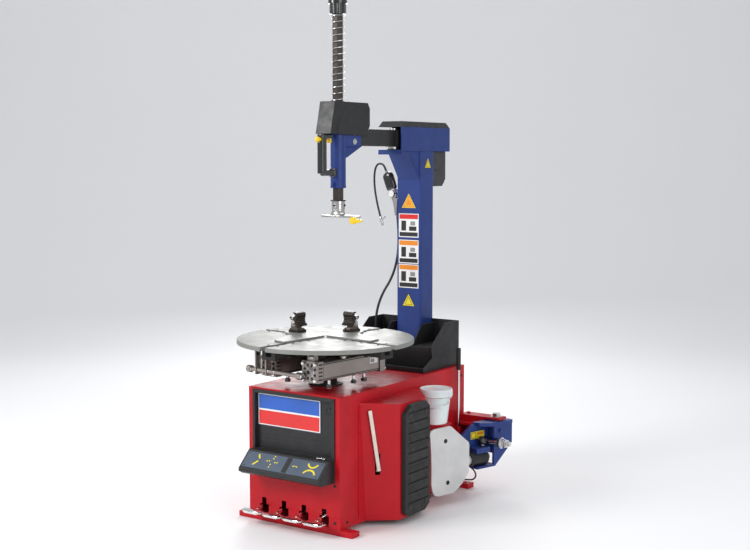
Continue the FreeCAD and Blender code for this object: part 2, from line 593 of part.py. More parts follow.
def make_chuck_body():
    """Spindle, hub and four slideways under the plate."""
    spindle = rod(40, V(0, TABLE_Y, 440), V(0, TABLE_Y, 540))
    flange = rod(52, V(0, TABLE_Y, 540), V(0, TABLE_Y, 556))
    block = box(-52, 52, TABLE_Y - 52, TABLE_Y + 52, 556, TABLE_Z - TABLE_T)
    ways = []
    for i in range(4):
        for side in (-1, 1):
            y = TABLE_Y + side * (SLOT_W / 2 + 9.5)
            rail = box(50, TABLE_R - 30, y - 9, y + 9, CHUCK_LOW, TABLE_Z - TABLE_T)
            ways.append(turned(rail, 90 * i, TABLE_CENTRE))
        cross = box(TABLE_R - 38, TABLE_R - 30, TABLE_Y - 32, TABLE_Y + 32, CHUCK_LOW - 6, SLIDE_LOW - 0.5)
        ways.append(turned(cross, 90 * i, TABLE_CENTRE))
    return chuck_turned(join([spindle, flange, block] + ways))


def cylinder_body(x):
    """Square-profile air cylinder lying fore and aft, with end blocks, tie bolts and fittings below."""
    low, high = CYL_Z - CYL_HALF, CYL_Z + CYL_HALF
    profile = box(x - CYL_HALF + 3, x + CYL_HALF - 3, CYL_FRONT + 28, CYL_REAR - 28, low + 3, high - 3)
    edges = [e for e in profile.Edges if abs(e.tangentAt(e.FirstParameter).y) > 0.99]
    profile = profile.makeFillet(12, edges)
    ends = [box(x - CYL_HALF, x + CYL_HALF, y, y + 28, low, high) for y in (CYL_FRONT, CYL_REAR - 28)]
    hangers = [box(x - 16, x + 16, y, y + 18, high - 1, TABLE_Z - TABLE_T)
               for y in (CYL_FRONT + 6, CYL_REAR - 24)]
    boss = rod(15, V(x, CYL_FRONT - 8, CYL_Z), V(x, CYL_FRONT + 2, CYL_Z))
    bolts = [rod(5, V(x + dx, CYL_FRONT - 4, CYL_Z + dz), V(x + dx, CYL_REAR + 4, CYL_Z + dz))
             for dx in (-28, 28) for dz in (-28, 28)]
    necks = [rod(5, V(x + 20, CYL_FRONT + dy, 500), V(x + 20, CYL_FRONT + dy, low + 5)) for dy in (75, 203, 259)]
    feet = [rod(10, V(x + 20, CYL_FRONT + dy, 494), V(x + 20, CYL_FRONT + dy, 507)) for dy in (75, 203, 259)]
    return join([profile, boss] + ends + hangers + bolts + necks + feet)


def make_clamp_cylinders():
    """Both air cylinders and the tie rod that links their crossheads."""
    cylinders = [chuck_turned(cylinder_body(x)) for x in (-CYL_X, CYL_X)]
    return Part.makeCompound(cylinders + [make_chuck_links()])


def make_chuck_links():
    """Crosshead links and tie rod in front of the cylinders."""
    face = CYL_FRONT - 8.5
    axis_y, axis_z = face - 15, CYL_Z - 14
    tie = rod(7, V(-CYL_X - 70, axis_y, axis_z), V(CYL_X - 20, axis_y, axis_z))
    knuckles = [rod(13, V(x, axis_y, axis_z), V(x + 18, axis_y, axis_z)) for x in (-CYL_X - 78, CYL_X - 36)]
    plates = [side_plate([(face - 24, axis_z - 16), (face, axis_z - 16), (face, TABLE_Z - TABLE_T),
                          (face - 24, TABLE_Z - TABLE_T)], x, x + 6) for x in (-CYL_X - 36, -CYL_X + 14)]
    return chuck_turned(join([tie] + knuckles + plates))


def slide_in_x(wedge):
    """One jaw slide drawn for the +X slot: runner in the slot, and a top plate if it has one."""
    half = SLOT_W / 2 - 0.4
    parts = [box(72, 200, TABLE_Y - half, TABLE_Y + half, SLIDE_LOW, TABLE_Z - 0.5)]
    if wedge:
        parts.append(plan_plate([(x, TABLE_Y + y) for x, y in wedge], TABLE_Z + 0.3, TABLE_Z + 7))
        parts.append(box(96, 170, TABLE_Y - half, TABLE_Y + half, TABLE_Z - 1, TABLE_Z + 1))
    return join(parts)


def wedge_outline(side):
    """Top plate that fills the quarter beside the slot; side is +1 or -1."""
    outline = [(5, 0), (20, -14), (100, -22), (172, -22), (178, 26), (118, 56), (60, 198), (5, 206)]
    return [(x, y * side) for x, y in outline]


def make_slide(index, side):
    """Slides are numbered counter-clockwise from the +X slot; side is 0 for a plain one."""
    wedge = wedge_outline(side) if side else None
    return chuck_turned(turned(slide_in_x(wedge), 90 * index, TABLE_CENTRE))


def make_jaw(index):
    """Tall clamping jaw: a base block, a riser and a hooked toothed head facing the centre."""
    base = box(JAW_R - 26, JAW_R + 26, TABLE_Y - 20, TABLE_Y + 20, TABLE_Z + 7, TABLE_Z + 20)
    riser = prism([(JAW_R - 14, TABLE_Y - 15, TABLE_Z + 20), (JAW_R + 16, TABLE_Y - 15, TABLE_Z + 20),
                   (JAW_R + 12, TABLE_Y - 15, TABLE_Z + 52), (JAW_R - 8, TABLE_Y - 15, TABLE_Z + 52)],
                  V(0, 30, 0))
    hook = prism([(JAW_R - 12, TABLE_Y - 20, TABLE_Z + 50), (JAW_R + 16, TABLE_Y - 20, TABLE_Z + 50),
                  (JAW_R + 22, TABLE_Y - 20, TABLE_Z + 60), (JAW_R + 20, TABLE_Y - 20, TABLE_Z + 76),
                  (JAW_R + 4, TABLE_Y - 20, TABLE_Z + 80), (JAW_R - 26, TABLE_Y - 20, TABLE_Z + 72),
                  (JAW_R - 22, TABLE_Y - 20, TABLE_Z + 62)], V(0, 40, 0))
    jaw = join([base, riser, hook])
    return chuck_turned(turned(jaw, 90 * index, TABLE_CENTRE))


# ---------------------------------------------------------------- drive inside the cabinet
def make_gearbox():
    """Worm gearbox under the turntable, hung from the cabinet's top."""
    body = round_box(-85, 60, TABLE_Y - 85, TABLE_Y + 85, GEAR_Z0, 420, 20)
    bearing = rod(60, V(0, TABLE_Y, 420), V(0, TABLE_Y, TOP_Z + 4))
    ring = rod(78, V(0, TABLE_Y, 440), V(0, TABLE_Y, TOP_Z - SHEET))
    worm = rod(24, V(-112, WORM_Y, WORM_Z), V(-80, WORM_Y, WORM_Z))
    housing = join([body, bearing, ring, worm])
    bore = rod(40 + RUN_GAP, V(0, TABLE_Y, 439.5), V(0, TABLE_Y, TOP_Z + 10))
    return housing.cut(bore).cut(rod(12 + RUN_GAP, V(-120, WORM_Y, WORM_Z), V(-90, WORM_Y, WORM_Z)))


def make_motor():
    """Electric motor with a finned casing on a floor plate."""
    casing = rod(62, V(-60, MOTOR_Y, MOTOR_Z), V(110, MOTOR_Y, MOTOR_Z))
    fins = []
    for i in range(16):
        fin = box(-50, 100, MOTOR_Y - 2, MOTOR_Y + 2, MOTOR_Z + 55, MOTOR_Z + 70)
        fins.append(turned(fin, 22.5 * i, V(0, MOTOR_Y, MOTOR_Z), ACROSS))
    foot = box(-50, 90, MOTOR_Y - 60, MOTOR_Y + 60, 122, 134)
    legs = [box(x, x + 16, MOTOR_Y - 50, MOTOR_Y + 50, FOOT_H + 4, 123) for x in (-50, 74)]
    nose = rod(26, V(-78, MOTOR_Y, MOTOR_Z), V(-58, MOTOR_Y, MOTOR_Z))
    bore = rod(12 + RUN_GAP, V(-120, MOTOR_Y, MOTOR_Z), V(-66, MOTOR_Y, MOTOR_Z))
    return join([casing, foot, nose] + fins + legs).cut(bore)


def make_pulley(radius, y, z, shaft_to):
    """V-belt pulley with its shaft."""
    wheel = rod(radius + 6, V(PULLEY_X - 12, y, z), V(PULLEY_X + 12, y, z))
    groove = tube(radius + 8, radius - 3, V(PULLEY_X - 6, y, z), V(PULLEY_X + 6, y, z))
    shaft = rod(12, V(PULLEY_X - 16, y, z), V(shaft_to, y, z))
    return join([wheel.cut(groove), shaft])


def belt_outline(extra):
    """Straight sides and two arcs round both pulleys, as a closed wire in the YZ plane."""
    big = V(PULLEY_X - 5, WORM_Y, WORM_Z)
    small = V(PULLEY_X - 5, MOTOR_Y, MOTOR_Z)
    r_big, r_small = GEAR_PULLEY_R + extra, MOTOR_PULLEY_R + extra
    span = small - big
    direction = span.normalize()
    gap = (V(PULLEY_X - 5, MOTOR_Y, MOTOR_Z) - big).Length
    lean = math.asin((r_big - r_small) / gap)
    side = ACROSS.cross(direction)

    def touch(centre, radius, sign):
        return centre + (direction * math.sin(lean) + side * (sign * math.cos(lean))) * radius
    a, b = touch(big, r_big, 1), touch(small, r_small, 1)
    c, d = touch(small, r_small, -1), touch(big, r_big, -1)
    edges = [Part.LineSegment(a, b).toShape(),
             Part.Arc(b, small + direction * r_small, c).toShape(),
             Part.LineSegment(c, d).toShape(),
             Part.Arc(d, big - direction * r_big, a).toShape()]
    return Part.Wire(edges)


def make_belt():
    outer = Part.Face(belt_outline(5)).extrude(V(10, 0, 0))
    inner = Part.Face(belt_outline(-2)).extrude(V(10, 0, 0))
    return outer.cut(inner)


def make_breaker_cylinder():
    """Air cylinder that pulls the breaker arm, on two feet."""
    shell = rod(45, V(-90, ROD_Y, ROD_Z), V(150, ROD_Y, ROD_Z))
    bore = rod(41, V(-84, ROD_Y, ROD_Z), V(144, ROD_Y, ROD_Z))
    gland = rod(ROD_R + RUN_GAP, V(140, ROD_Y, ROD_Z), V(160, ROD_Y, ROD_Z))
    feet = [box(x, x + 8, ROD_Y - 40, ROD_Y + 40, FOOT_H + 4, ROD_Z - 20) for x in (-80, 130)]
    return join([shell] + feet).cut(bore).cut(gland)


# ---------------------------------------------------------------- pedals
def make_pedal_frame():
    """Pedal axle on two brackets."""
    axle = rod(PEDAL_SHAFT_R, V(-170, PEDAL_PIVOT.y, PEDAL_PIVOT.z), V(170, PEDAL_PIVOT.y, PEDAL_PIVOT.z))
    brackets = [box(x, x + 8, PEDAL_PIVOT.y - 20, PEDAL_PIVOT.y + 20, FOOT_H + 4, PEDAL_PIVOT.z + 16)
                for x in (-170, 162)]
    return join([axle] + brackets)


def make_pedal_valves():
    """Air valves on a rail, one under each pedal lever."""
    y0 = PEDAL_PIVOT.y
    blocks = [box(-155, 155, y0 - 100, y0 - 84, FOOT_H + 4, 30)]
    for x in SLOT_XS:
        blocks.append(box(x - 16, x + 16, y0 - 86, y0 - 34, FOOT_H + 4, 35))
        blocks.append(rod(5, V(x, y0 - 60, 34), V(x, y0 - 60, 43)))
    return join(blocks)


def make_pedal(x):
    """Bent flat lever on the axle with a pressed foot pad."""
    y0 = PEDAL_PIVOT.y
    arm = side_plate([(y0 + 40, 56), (y0 + 40, 68), (y0 - 20, 72), (FRONT_Y - 20, 60), (FRONT_Y - 40, 54),
                      (FRONT_Y - 40, 46), (FRONT_Y - 18, 50), (y0 - 20, 52), (y0, 50)], x - 5, x + 5)
    hub = rod(15, V(x - 12, y0, PEDAL_PIVOT.z), V(x + 12, y0, PEDAL_PIVOT.z))
    pad = round_box(x - 41.5, x + 41.5, FRONT_Y - 78, FRONT_Y - 36, 47, 51, 12)
    lip = box(x - 29, x + 29, FRONT_Y - 78, FRONT_Y - 75, 44, 48)
    bore = rod(PEDAL_SHAFT_R + RUN_GAP, V(x - 20, y0, PEDAL_PIVOT.z), V(x + 20, y0, PEDAL_PIVOT.z))
    return join([arm, hub, pad, lip]).cut(bore)


# ---------------------------------------------------------------- bead breaker
def breaker_turned(shape):
    return turned(shape, BREAKER_TURN, BREAKER_PIVOT)


def make_breaker_bracket():
    """Box bolted to the cabinet's rear corner; the arm hangs between its top and bottom plates."""
    px, py = BREAKER_PIVOT.x, BREAKER_PIVOT.y
    top = plan_plate([(SIDE_X, 388), (px + 30, 392), (px + 30, py + 24), (SIDE_X, py + 24)],
                     BRACKET_TOP - 8, BRACKET_TOP)
    lug = rod(23, V(px, py, BRACKET_LOW), V(px, py, BRACKET_LOW + 8))
    strap = box(SIDE_X, px, 398, py + 23, BRACKET_LOW, BRACKET_LOW + 8)
    ledge = plan_plate([(SIDE_X, 352), (SIDE_X, 394), (px - 40, 394), (SIDE_X + 62, 358)], 256, 264)
    riser = box(SIDE_X, px - 40, 388, 394, 256, BRACKET_TOP)
    wall = box(SIDE_X, SIDE_X + 6, 352, py + 24, BRACKET_LOW, 264)
    rear = box(SIDE_X, px - 30, py + 18, py + 24, BRACKET_LOW, BRACKET_TOP)
    hole = rod(15, V(px, py, BRACKET_LOW - 5), V(px, py, BRACKET_TOP + 5))
    rod_hole = rod(ROD_R + 6, V(SIDE_X - 1, ROD_Y, ROD_Z), V(SIDE_X + 10, ROD_Y, ROD_Z))
    return join([top, lug, strap, ledge, riser, wall, rear]).cut(hole).cut(rod_hole)


def make_breaker_pin():
    px, py = BREAKER_PIVOT.x, BREAKER_PIVOT.y
    pin = rod(15, V(px, py, BRACKET_LOW - 4), V(px, py, BRACKET_TOP + 6))
    nut = hexagon(30, V(px, py, 0), BRACKET_TOP, BRACKET_TOP + 14)
    return pin.fuse(nut)


def arm_plan(points):
    """Plan outline given as (offset outwards, distance along the arm from its pivot)."""
    return [(BREAKER_PIVOT.x + out, BREAKER_PIVOT.y - along) for out, along in points]


def arm_side(points):
    """Side outline given as (distance along the arm from its pivot, height)."""
    return [(BREAKER_PIVOT.y - along, z) for along, z in points]


def make_breaker_arm():
    """Welded arm: hub on the pivot, outer cheek, long web, roof, and the bearing of the blade bar."""
    px, py = BREAKER_PIVOT.x, BREAKER_PIVOT.y
    bar_x = px + 8
    hub = rod(31, V(px, py, 166), V(px, py, 278))
    cheek = side_plate(arm_side([(-52, 278), (-52, 188), (30, 116), (38, 108), (46, 108), (46, 278)]),
                       px + 24, px + 34)
    web = side_plate(arm_side([(38, 108), (134, 108), (134, 186), (150, 186), (178, 206), (178, 230),
                               (128, 262), (96, 278), (18, 278), (18, 176), (38, 176)]), px - 26, px - 14)
    roof = plan_plate(arm_plan([(-26, -8), (-26, 62), (-26, 104), (6, 96), (34, 60), (42, 20), (42, -20),
                                (36, -52), (14, -52)]), 264, 278)
    seat = box(px - 18, px + 30, py - 134, py - 62, 166, 186)
    floor = box(px - 18, px + 34, py - 134, py - 38, 108, 116)
    bearing = rod(27, V(bar_x, py - 158, BLADE_BAR_Z), V(bar_x, py - 72, BLADE_BAR_Z))
    arm = join([hub, cheek, web, roof, seat, floor, bearing])
    window = box(px - 40, px + 90, py - 76, py - 30, ROD_Z - 14, ROD_Z + 14)
    bore = rod(15 + RUN_GAP, V(px, py, 100), V(px, py, 300))
    bar_hole = rod(BLADE_BAR_R + RUN_GAP, V(bar_x, py - 170, BLADE_BAR_Z), V(bar_x, py - 60, BLADE_BAR_Z))
    pin_hole = rod(6 + RUN_GAP, V(bar_x, py - 84, BLADE_BAR_Z + 10), V(bar_x, py - 84, 200))
    return breaker_turned(arm.cut(Part.makeCompound([window, bore, bar_hole, pin_hole])))


def make_breaker_blade():
    """Shovel-shaped blade welded on its bar: the far edge is hollow, to follow a rim."""
    px, py = BREAKER_PIVOT.x, BREAKER_PIVOT.y
    x0 = px + 29
    bar_x = px + 8
    near, far = py - BLADE_NEAR, py - BLADE_FAR
    top = V(x0, far + 6, 280)
    hollow = V(x0, far + 14, 166)
    low = V(x0, far + 14, 90)
    edge_points = [V(x0, far + 11, 289), V(x0, far + 26, 295), V(x0, far + 102, 298), V(x0, far + 112, 294),
                   V(x0, near - 4, 222), V(x0, near, 212), V(x0, near - 2, 108), V(x0, near - 34, 70),
                   V(x0, near - 72, 44), V(x0, near - 84, 40), V(x0, far + 46, 40), V(x0, far + 30, 47),
                   V(x0, far + 20, 62), low]
    edges = [Part.LineSegment(a, b).toShape() for a, b in zip(edge_points, edge_points[1:])]
    edges.append(Part.Arc(low, hollow, top).toShape())
    edges.append(Part.LineSegment(top, edge_points[0]).toShape())
    plate = Part.Face(Part.Wire(edges)).extrude(V(6, 0, 0))
    bar = rod(BLADE_BAR_R, V(bar_x, py - 70, BLADE_BAR_Z), V(bar_x, far + 60, BLADE_BAR_Z))
    lugs = [box(bar_x - 2, x0 + 1, y, y + 12, BLADE_BAR_Z - 19, BLADE_BAR_Z + 19) for y in (far + 66, near - 26)]
    washer = rod(16, V(bar_x, py - 70, BLADE_BAR_Z), V(bar_x, py - 67, BLADE_BAR_Z))
    nut = turned(hexagon(24, V(0, 0, 0), 0, 14), 90, V(0, 0, 0), ACROSS)
    nut.translate(V(bar_x, py - 53, BLADE_BAR_Z))
    stub = rod(8, V(bar_x, py - 68, BLADE_BAR_Z), V(bar_x, py - 50, BLADE_BAR_Z))
    groove = tube(30, 17, V(bar_x, py - 91, BLADE_BAR_Z), V(bar_x, py - 77, BLADE_BAR_Z))
    blade = join([plate, bar, washer, nut, stub] + lugs).cut(groove)
    return breaker_turned(blade)


def make_blade_pin():
    """Ball-knob spring pin that keeps the blade bar in the arm."""
    base = V(BREAKER_PIVOT.x + 8, BREAKER_PIVOT.y - 84, 0)
    shank = rod(6, base + V(0, 0, BLADE_BAR_Z + 17.6), base + V(0, 0, 196))
    collar = rod(10, base + V(0, 0, 186.5), base + V(0, 0, 193))
    knob = Part.makeSphere(17, base + V(0, 0, 209))
    return breaker_turned(join([shank, collar, knob]))


def make_breaker_rod():
    """Pull rod from the air cylinder, with its washer, nuts and threaded end outside the arm."""
    shaft = rod(ROD_R, V(-40, ROD_Y, ROD_Z), V(434, ROD_Y, ROD_Z))
    washer = rod(21, V(394, ROD_Y, ROD_Z), V(399, ROD_Y, ROD_Z))
    nuts = [turned(hexagon(flats, V(0, 0, 0), 0, depth), 90, V(0, 0, 0), BACK)
            for flats, depth in ((30, 13), (26, 10))]
    nuts[0].translate(V(399, ROD_Y, ROD_Z))
    nuts[1].translate(V(414, ROD_Y, ROD_Z))
    piston = rod(40.9, V(-40, ROD_Y, ROD_Z), V(-22, ROD_Y, ROD_Z))
    return join([shaft, washer, piston] + nuts)


# ---------------------------------------------------------------- bucket, levers, inflator
def make_side_brackets():
    """Shelf for the bucket, and the socket that the long lever stands in."""
    shelf = round_box(SIDE_X - 30, 310, 82, 152, BUCKET_Z - 4, BUCKET_Z, 20)
    shelf = shelf.cut(box(SIDE_X - 40, SIDE_X, 0, 200, BUCKET_Z - 10, BUCKET_Z + 10))
    flange = box(SIDE_X, SIDE_X + 3, 82, 182, 250, BUCKET_Z)
    socket = tube(9, 6.2, V(LEVER_ROD.x, LEVER_ROD.y, 214), V(LEVER_ROD.x, LEVER_ROD.y, 250))
    stop = rod(9, V(LEVER_ROD.x, LEVER_ROD.y, 210), V(LEVER_ROD.x, LEVER_ROD.y, 214))
    tie = box(SIDE_X, LEVER_ROD.x - 7, LEVER_ROD.y - 5, LEVER_ROD.y + 5, 212, 248)
    return [join([shelf, flange]), join([socket, stop, tie])]


def make_long_lever():
    """Chromed bar lever; its grip is a separate part."""
    return rod(5.5, V(LEVER_ROD.x, LEVER_ROD.y, 214.3), V(LEVER_ROD.x, LEVER_ROD.y, 545))


def make_lever_grip():
    low = V(LEVER_ROD.x, LEVER_ROD.y, 472)
    grip = rod(8.5, low, V(LEVER_ROD.x, LEVER_ROD.y, 558))
    grip = rounded(grip, 4, lambda p: True)
    return grip.cut(rod(5.5, low + V(0, 0, -5), V(LEVER_ROD.x, LEVER_ROD.y, 545)))


def make_bucket():
    outer = cone(42, 56, V(BUCKET.x, BUCKET.y, BUCKET_Z), V(BUCKET.x, BUCKET.y, BUCKET_Z + 124))
    inner = cone(40, 54, V(BUCKET.x, BUCKET.y, BUCKET_Z + 2.5), V(BUCKET.x, BUCKET.y, BUCKET_Z + 126))
    ring = rod(60, V(BUCKET.x, BUCKET.y, BUCKET_Z + 98), V(BUCKET.x, BUCKET.y, BUCKET_Z + 102))
    return outer.fuse(ring).cut(inner).removeSplitter()


def make_bucket_lid():
    z0 = BUCKET_Z + 104
    skirt = rod(62, V(BUCKET.x, BUCKET.y, z0), V(BUCKET.x, BUCKET.y, z0 + 27))
    skirt = skirt.makeFillet(3, [e for e in skirt.Edges if e.CenterOfMass.z > z0 + 20 and e.Length > 100])
    room = rod(57.5, V(BUCKET.x, BUCKET.y, z0 - 1), V(BUCKET.x, BUCKET.y, z0 + 20.4))
    dish = rod(54, V(BUCKET.x, BUCKET.y, z0 + 24), V(BUCKET.x, BUCKET.y, z0 + 30))
    return skirt.cut(room).cut(dish)


def gun_place(shape):
    """From the inflator's own frame, Z along the grip, to its place on the hook."""
    place = shape.copy()
    place.rotate(V(0, 0, 0), BACK, GUN_TILT)
    place.translate(GUN)
    return place


def make_inflator():
    """Hand inflator on its hook: black grip above, valve block and gauge below."""
    grip = box(-24, 22, -16, 16, -36, 34)
    edges = [e for e in grip.Edges if abs(e.tangentAt(e.FirstParameter).z) > 0.99]
    grip = grip.makeFillet(13, edges)
    valve = box(-14, 14, -12, 12, -70, -30)
    whip_boss = rod(6, V(-4, 0, 30), V(-4, 0, 42))
    gauge = rod(15, V(0, -21, -53), V(0, -8, -53))
    ears = [box(-13, -5, y, y + 3, -77, -69) for y in (-9.5, 6.5)]
    eyes = rod(2 + RUN_GAP, V(-9, -12, -73), V(-9, 12, -73))
    body = gun_place(join([grip, valve, whip_boss, gauge] + ears).cut(eyes))
    inlet = V(SUPPLY_ROUTE[0][0], 0, 0)
    arm = box(inlet.x - 7, inlet.x + 7, 340, SUPPLY_ROUTE[0][1] + 7, 1154, 1167)
    spigot = rod(6.5, V(inlet.x, SUPPLY_ROUTE[0][1], 1156), V(*SUPPLY_ROUTE[0]))
    return join([body, arm, spigot])


def make_inflator_trigger():
    """Long lever below the valve block."""
    blade = prism([(-12, -6, -71), (8, -6, -73), (12, -6, -80), (-14, -6, -140), (-21, -6, -138), (-12, -6, -88)],
                  V(0, 12, 0))
    pin = rod(2, V(-9, -9.4, -73), V(-9, 9.4, -73))
    return gun_place(blade.fuse(pin))


def make_inflator_hook():
    """Bent strap on the column's left side that the inflator hangs on."""
    plate = box(-COLUMN_HALF - 3, -COLUMN_HALF, 334, 366, 1200, 1262)
    arm = box(-84, -COLUMN_HALF, 342, 360, 1256, 1259)
    return join([plate, arm])


# ---------------------------------------------------------------- air hoses
def make_whip_chuck():
    """Clip-on tyre connector at the end of the whip hose."""
    end = V(*WHIP_ROUTE[-1])
    way = (end - V(*WHIP_ROUTE[-2])).normalize()
    barrel = rod(6, end, end + way * 26)
    nose = rod(4.5, end + way * 26, end + way * 34)
    side = way.cross(BACK).normalize()
    clip = Part.makeCylinder(2.5, 22, end + way * 12 + side * 5, side - way * 0.4)
    return join([barrel, nose, clip])


def save(name, shape):
    solid = shape
    if shape.ShapeType == "Compound" and len(shape.Solids) == 1:
        solid = shape.Solids[0]
    assert solid.isValid(), name
    solid.exportStep("parts/" + name + ".step")
    print(name, "solids", len(shape.Solids), "cm3", round(shape.Volume / 1000))


def make_parts():
    """Every part by its node name."""
    parts = {
        "base_frame": make_base_frame(),
        "cabinet_shell": make_cabinet_shell(),
        "left_side_panel": make_left_panel(),
        "side_box": make_side_box(),
        "wheel_rest_pad": make_wheel_rest(),
        "tyre_lever": make_tyre_lever(),
        "console_housing": make_console(),
        "console_plates": Part.makeCompound([make_badge_panel(), make_pictogram_panel()]),
        "tool_tray": make_tool_tray(),
        "column": make_column(),
        "column_head": make_column_head(),
        "column_cap": make_column_cap(),
        "rear_cover": make_rear_cover(),
        "pivot_pins": Part.makeCompound([make_arm_pivot(), make_breaker_pin()]),
        "swing_arm": make_swing_arm(),
        "head_sleeve": make_head_sleeve(),
        "head_cover": make_head_cover(),
        "head_handle": make_handle(),
        "lock_button": make_lock_button(),
        "hex_bar": make_hex_bar(),
        "bar_spring": make_spring(),
        "top_knob": make_top_knob(),
        "mount_head": make_mount_head(),
        "head_insert": make_head_insert(),
        "turntable_plate": make_turntable_plate(),
        "chuck_body": make_chuck_body(),
        "clamp_cylinders": make_clamp_cylinders(),
        "gearbox": make_gearbox(),
        "gearbox_pulley": make_pulley(GEAR_PULLEY_R, WORM_Y, WORM_Z, -91),
        "motor": make_motor(),
        "motor_pulley": make_pulley(MOTOR_PULLEY_R, MOTOR_Y, MOTOR_Z, -67),
        "drive_belt": make_belt(),
        "breaker_cylinder": make_breaker_cylinder(),
        "breaker_rod": make_breaker_rod(),
        "breaker_bracket": make_breaker_bracket(),
        "breaker_arm": make_breaker_arm(),
        "breaker_blade": make_breaker_blade(),
        "blade_lock_pin": make_blade_pin(),
        "pedal_frame": Part.makeCompound([make_pedal_frame(), make_pedal_valves()]),
        "small_brackets": Part.makeCompound(make_side_brackets() + [make_inflator_hook()]),
        "long_lever": make_long_lever(),
        "lever_grip": make_lever_grip(),
        "bucket": make_bucket(),
        "bucket_lid": make_bucket_lid(),
        "inflator": make_inflator(),
        "inflator_trigger": make_inflator_trigger(),
        "air_hose": route_tube(SUPPLY_ROUTE, SUPPLY_R, "air_hose"),
        "whip_hose": route_tube(WHIP_ROUTE, WHIP_R, "whip_hose"),
        "whip_chuck": make_whip_chuck(),
        "exhaust_loop": route_tube(LOOP_ROUTE, LOOP_R, "exhaust_loop"),
    }
    slides = make_slides()
    pedals = {"pedal_%d" % (i + 1): make_pedal(x) for i, x in enumerate(SLOT_XS)}
    return {**parts, **slides, **pedals}


def make_slides():
    """Four slides; the left and rear ones carry the top plates and the tall jaws."""
    names = ("right", "rear", "left", "front")
    sides = (0, -1, 1, 0)
    slides = {}
    for index, (name, side) in enumerate(zip(names, sides)):
        slides["slide_" + name] = make_slide(index, side)
        if side:
            slides["jaw_" + name] = make_jaw(index)
    return slides


def main():
    os.makedirs("parts", exist_ok=True)
    for name, shape in make_parts().items():
        save(name, shape)


main()
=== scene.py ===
"""Tire changer machine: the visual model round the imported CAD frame. Metres, +Z up, pedals towards -Y."""

from math import asin, atan2, copysign, cos, hypot, pi, radians, sin, sqrt

import bmesh
import bpy
from mathutils import Matrix, Vector


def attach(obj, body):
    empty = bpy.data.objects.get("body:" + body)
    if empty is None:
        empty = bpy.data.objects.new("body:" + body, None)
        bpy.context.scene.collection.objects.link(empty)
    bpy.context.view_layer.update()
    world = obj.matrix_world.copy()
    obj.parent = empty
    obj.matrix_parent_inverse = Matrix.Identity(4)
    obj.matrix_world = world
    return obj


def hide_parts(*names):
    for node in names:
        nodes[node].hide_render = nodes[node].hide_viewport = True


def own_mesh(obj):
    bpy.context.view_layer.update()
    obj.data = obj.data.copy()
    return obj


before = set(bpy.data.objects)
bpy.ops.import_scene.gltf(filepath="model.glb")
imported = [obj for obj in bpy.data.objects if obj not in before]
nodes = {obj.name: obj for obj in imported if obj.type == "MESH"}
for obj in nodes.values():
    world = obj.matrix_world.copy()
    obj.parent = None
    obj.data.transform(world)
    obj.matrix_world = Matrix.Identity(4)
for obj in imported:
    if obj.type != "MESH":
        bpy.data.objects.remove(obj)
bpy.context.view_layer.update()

X, Y, Z = Vector((1, 0, 0)), Vector((0, 1, 0)), Vector((0, 0, 1))


# ---------- materials
class Graph:
    """A material's node tree, with short calls for the nodes used here."""

    def __init__(self, name):
        self.material = bpy.data.materials.new(name)
        self.material.use_nodes = True
        self.tree = self.material.node_tree
        self.shader = self.tree.nodes["Principled BSDF"]
        self.coords = self.node("ShaderNodeTexCoord").outputs["Object"]

    def node(self, kind, **settings):
        made = self.tree.nodes.new(kind)
        for key, value in settings.items():
            setattr(made, key, value)
        return made

    def link(self, source, target):
        self.tree.links.new(source, target)

    def stretched(self, scale):
        mapping = self.node("ShaderNodeMapping")
        mapping.inputs["Scale"].default_value = scale
        self.link(self.coords, mapping.inputs["Vector"])
        return mapping.outputs["Vector"]

    def noise(self, scale, detail, rough=0.55, vector=None):
        made = self.node("ShaderNodeTexNoise")
        made.inputs["Scale"].default_value = scale
        made.inputs["Detail"].default_value = detail
        made.inputs["Roughness"].default_value = rough
        self.link(vector or self.coords, made.inputs["Vector"])
        return made.outputs["Fac"]

    def remap(self, value, low, high, to_low, to_high):
        made = self.node("ShaderNodeMapRange")
        for key, number in (("From Min", low), ("From Max", high), ("To Min", to_low), ("To Max", to_high)):
            made.inputs[key].default_value = number
        self.link(value, made.inputs["Value"])
        return made.outputs["Result"]

    def blend(self, factor, first, second):
        """Colour mix; first and second are colours or sockets."""
        made = self.node("ShaderNodeMix", data_type="RGBA")
        self.link(factor, made.inputs["Factor"])
        for socket, value in ((made.inputs["A"], first), (made.inputs["B"], second)):
            if isinstance(value, tuple):
                socket.default_value = (*value, 1)
            else:
                self.link(value, socket)
        return made.outputs["Result"]

    def product(self, first, second):
        made = self.node("ShaderNodeMath", operation="MULTIPLY")
        self.link(first, made.inputs[0])
        self.link(second, made.inputs[1])
        return made.outputs["Value"]

    def bump(self, height, strength, distance, under=None):
        made = self.node("ShaderNodeBump")
        made.inputs["Strength"].default_value = strength
        made.inputs["Distance"].default_value = distance
        self.link(height, made.inputs["Height"])
        if under:
            self.link(under, made.inputs["Normal"])
        return made.outputs["Normal"]

    def add_bump(self, height, strength, distance):
        """Lays one more bump over the shader's normal."""
        normal = self.shader.inputs["Normal"]
        self.link(self.bump(height, strength, distance, normal.links[0].from_socket), normal)


def tinted(colour, amount):
    return tuple(min(1.0, c * amount) for c in colour)


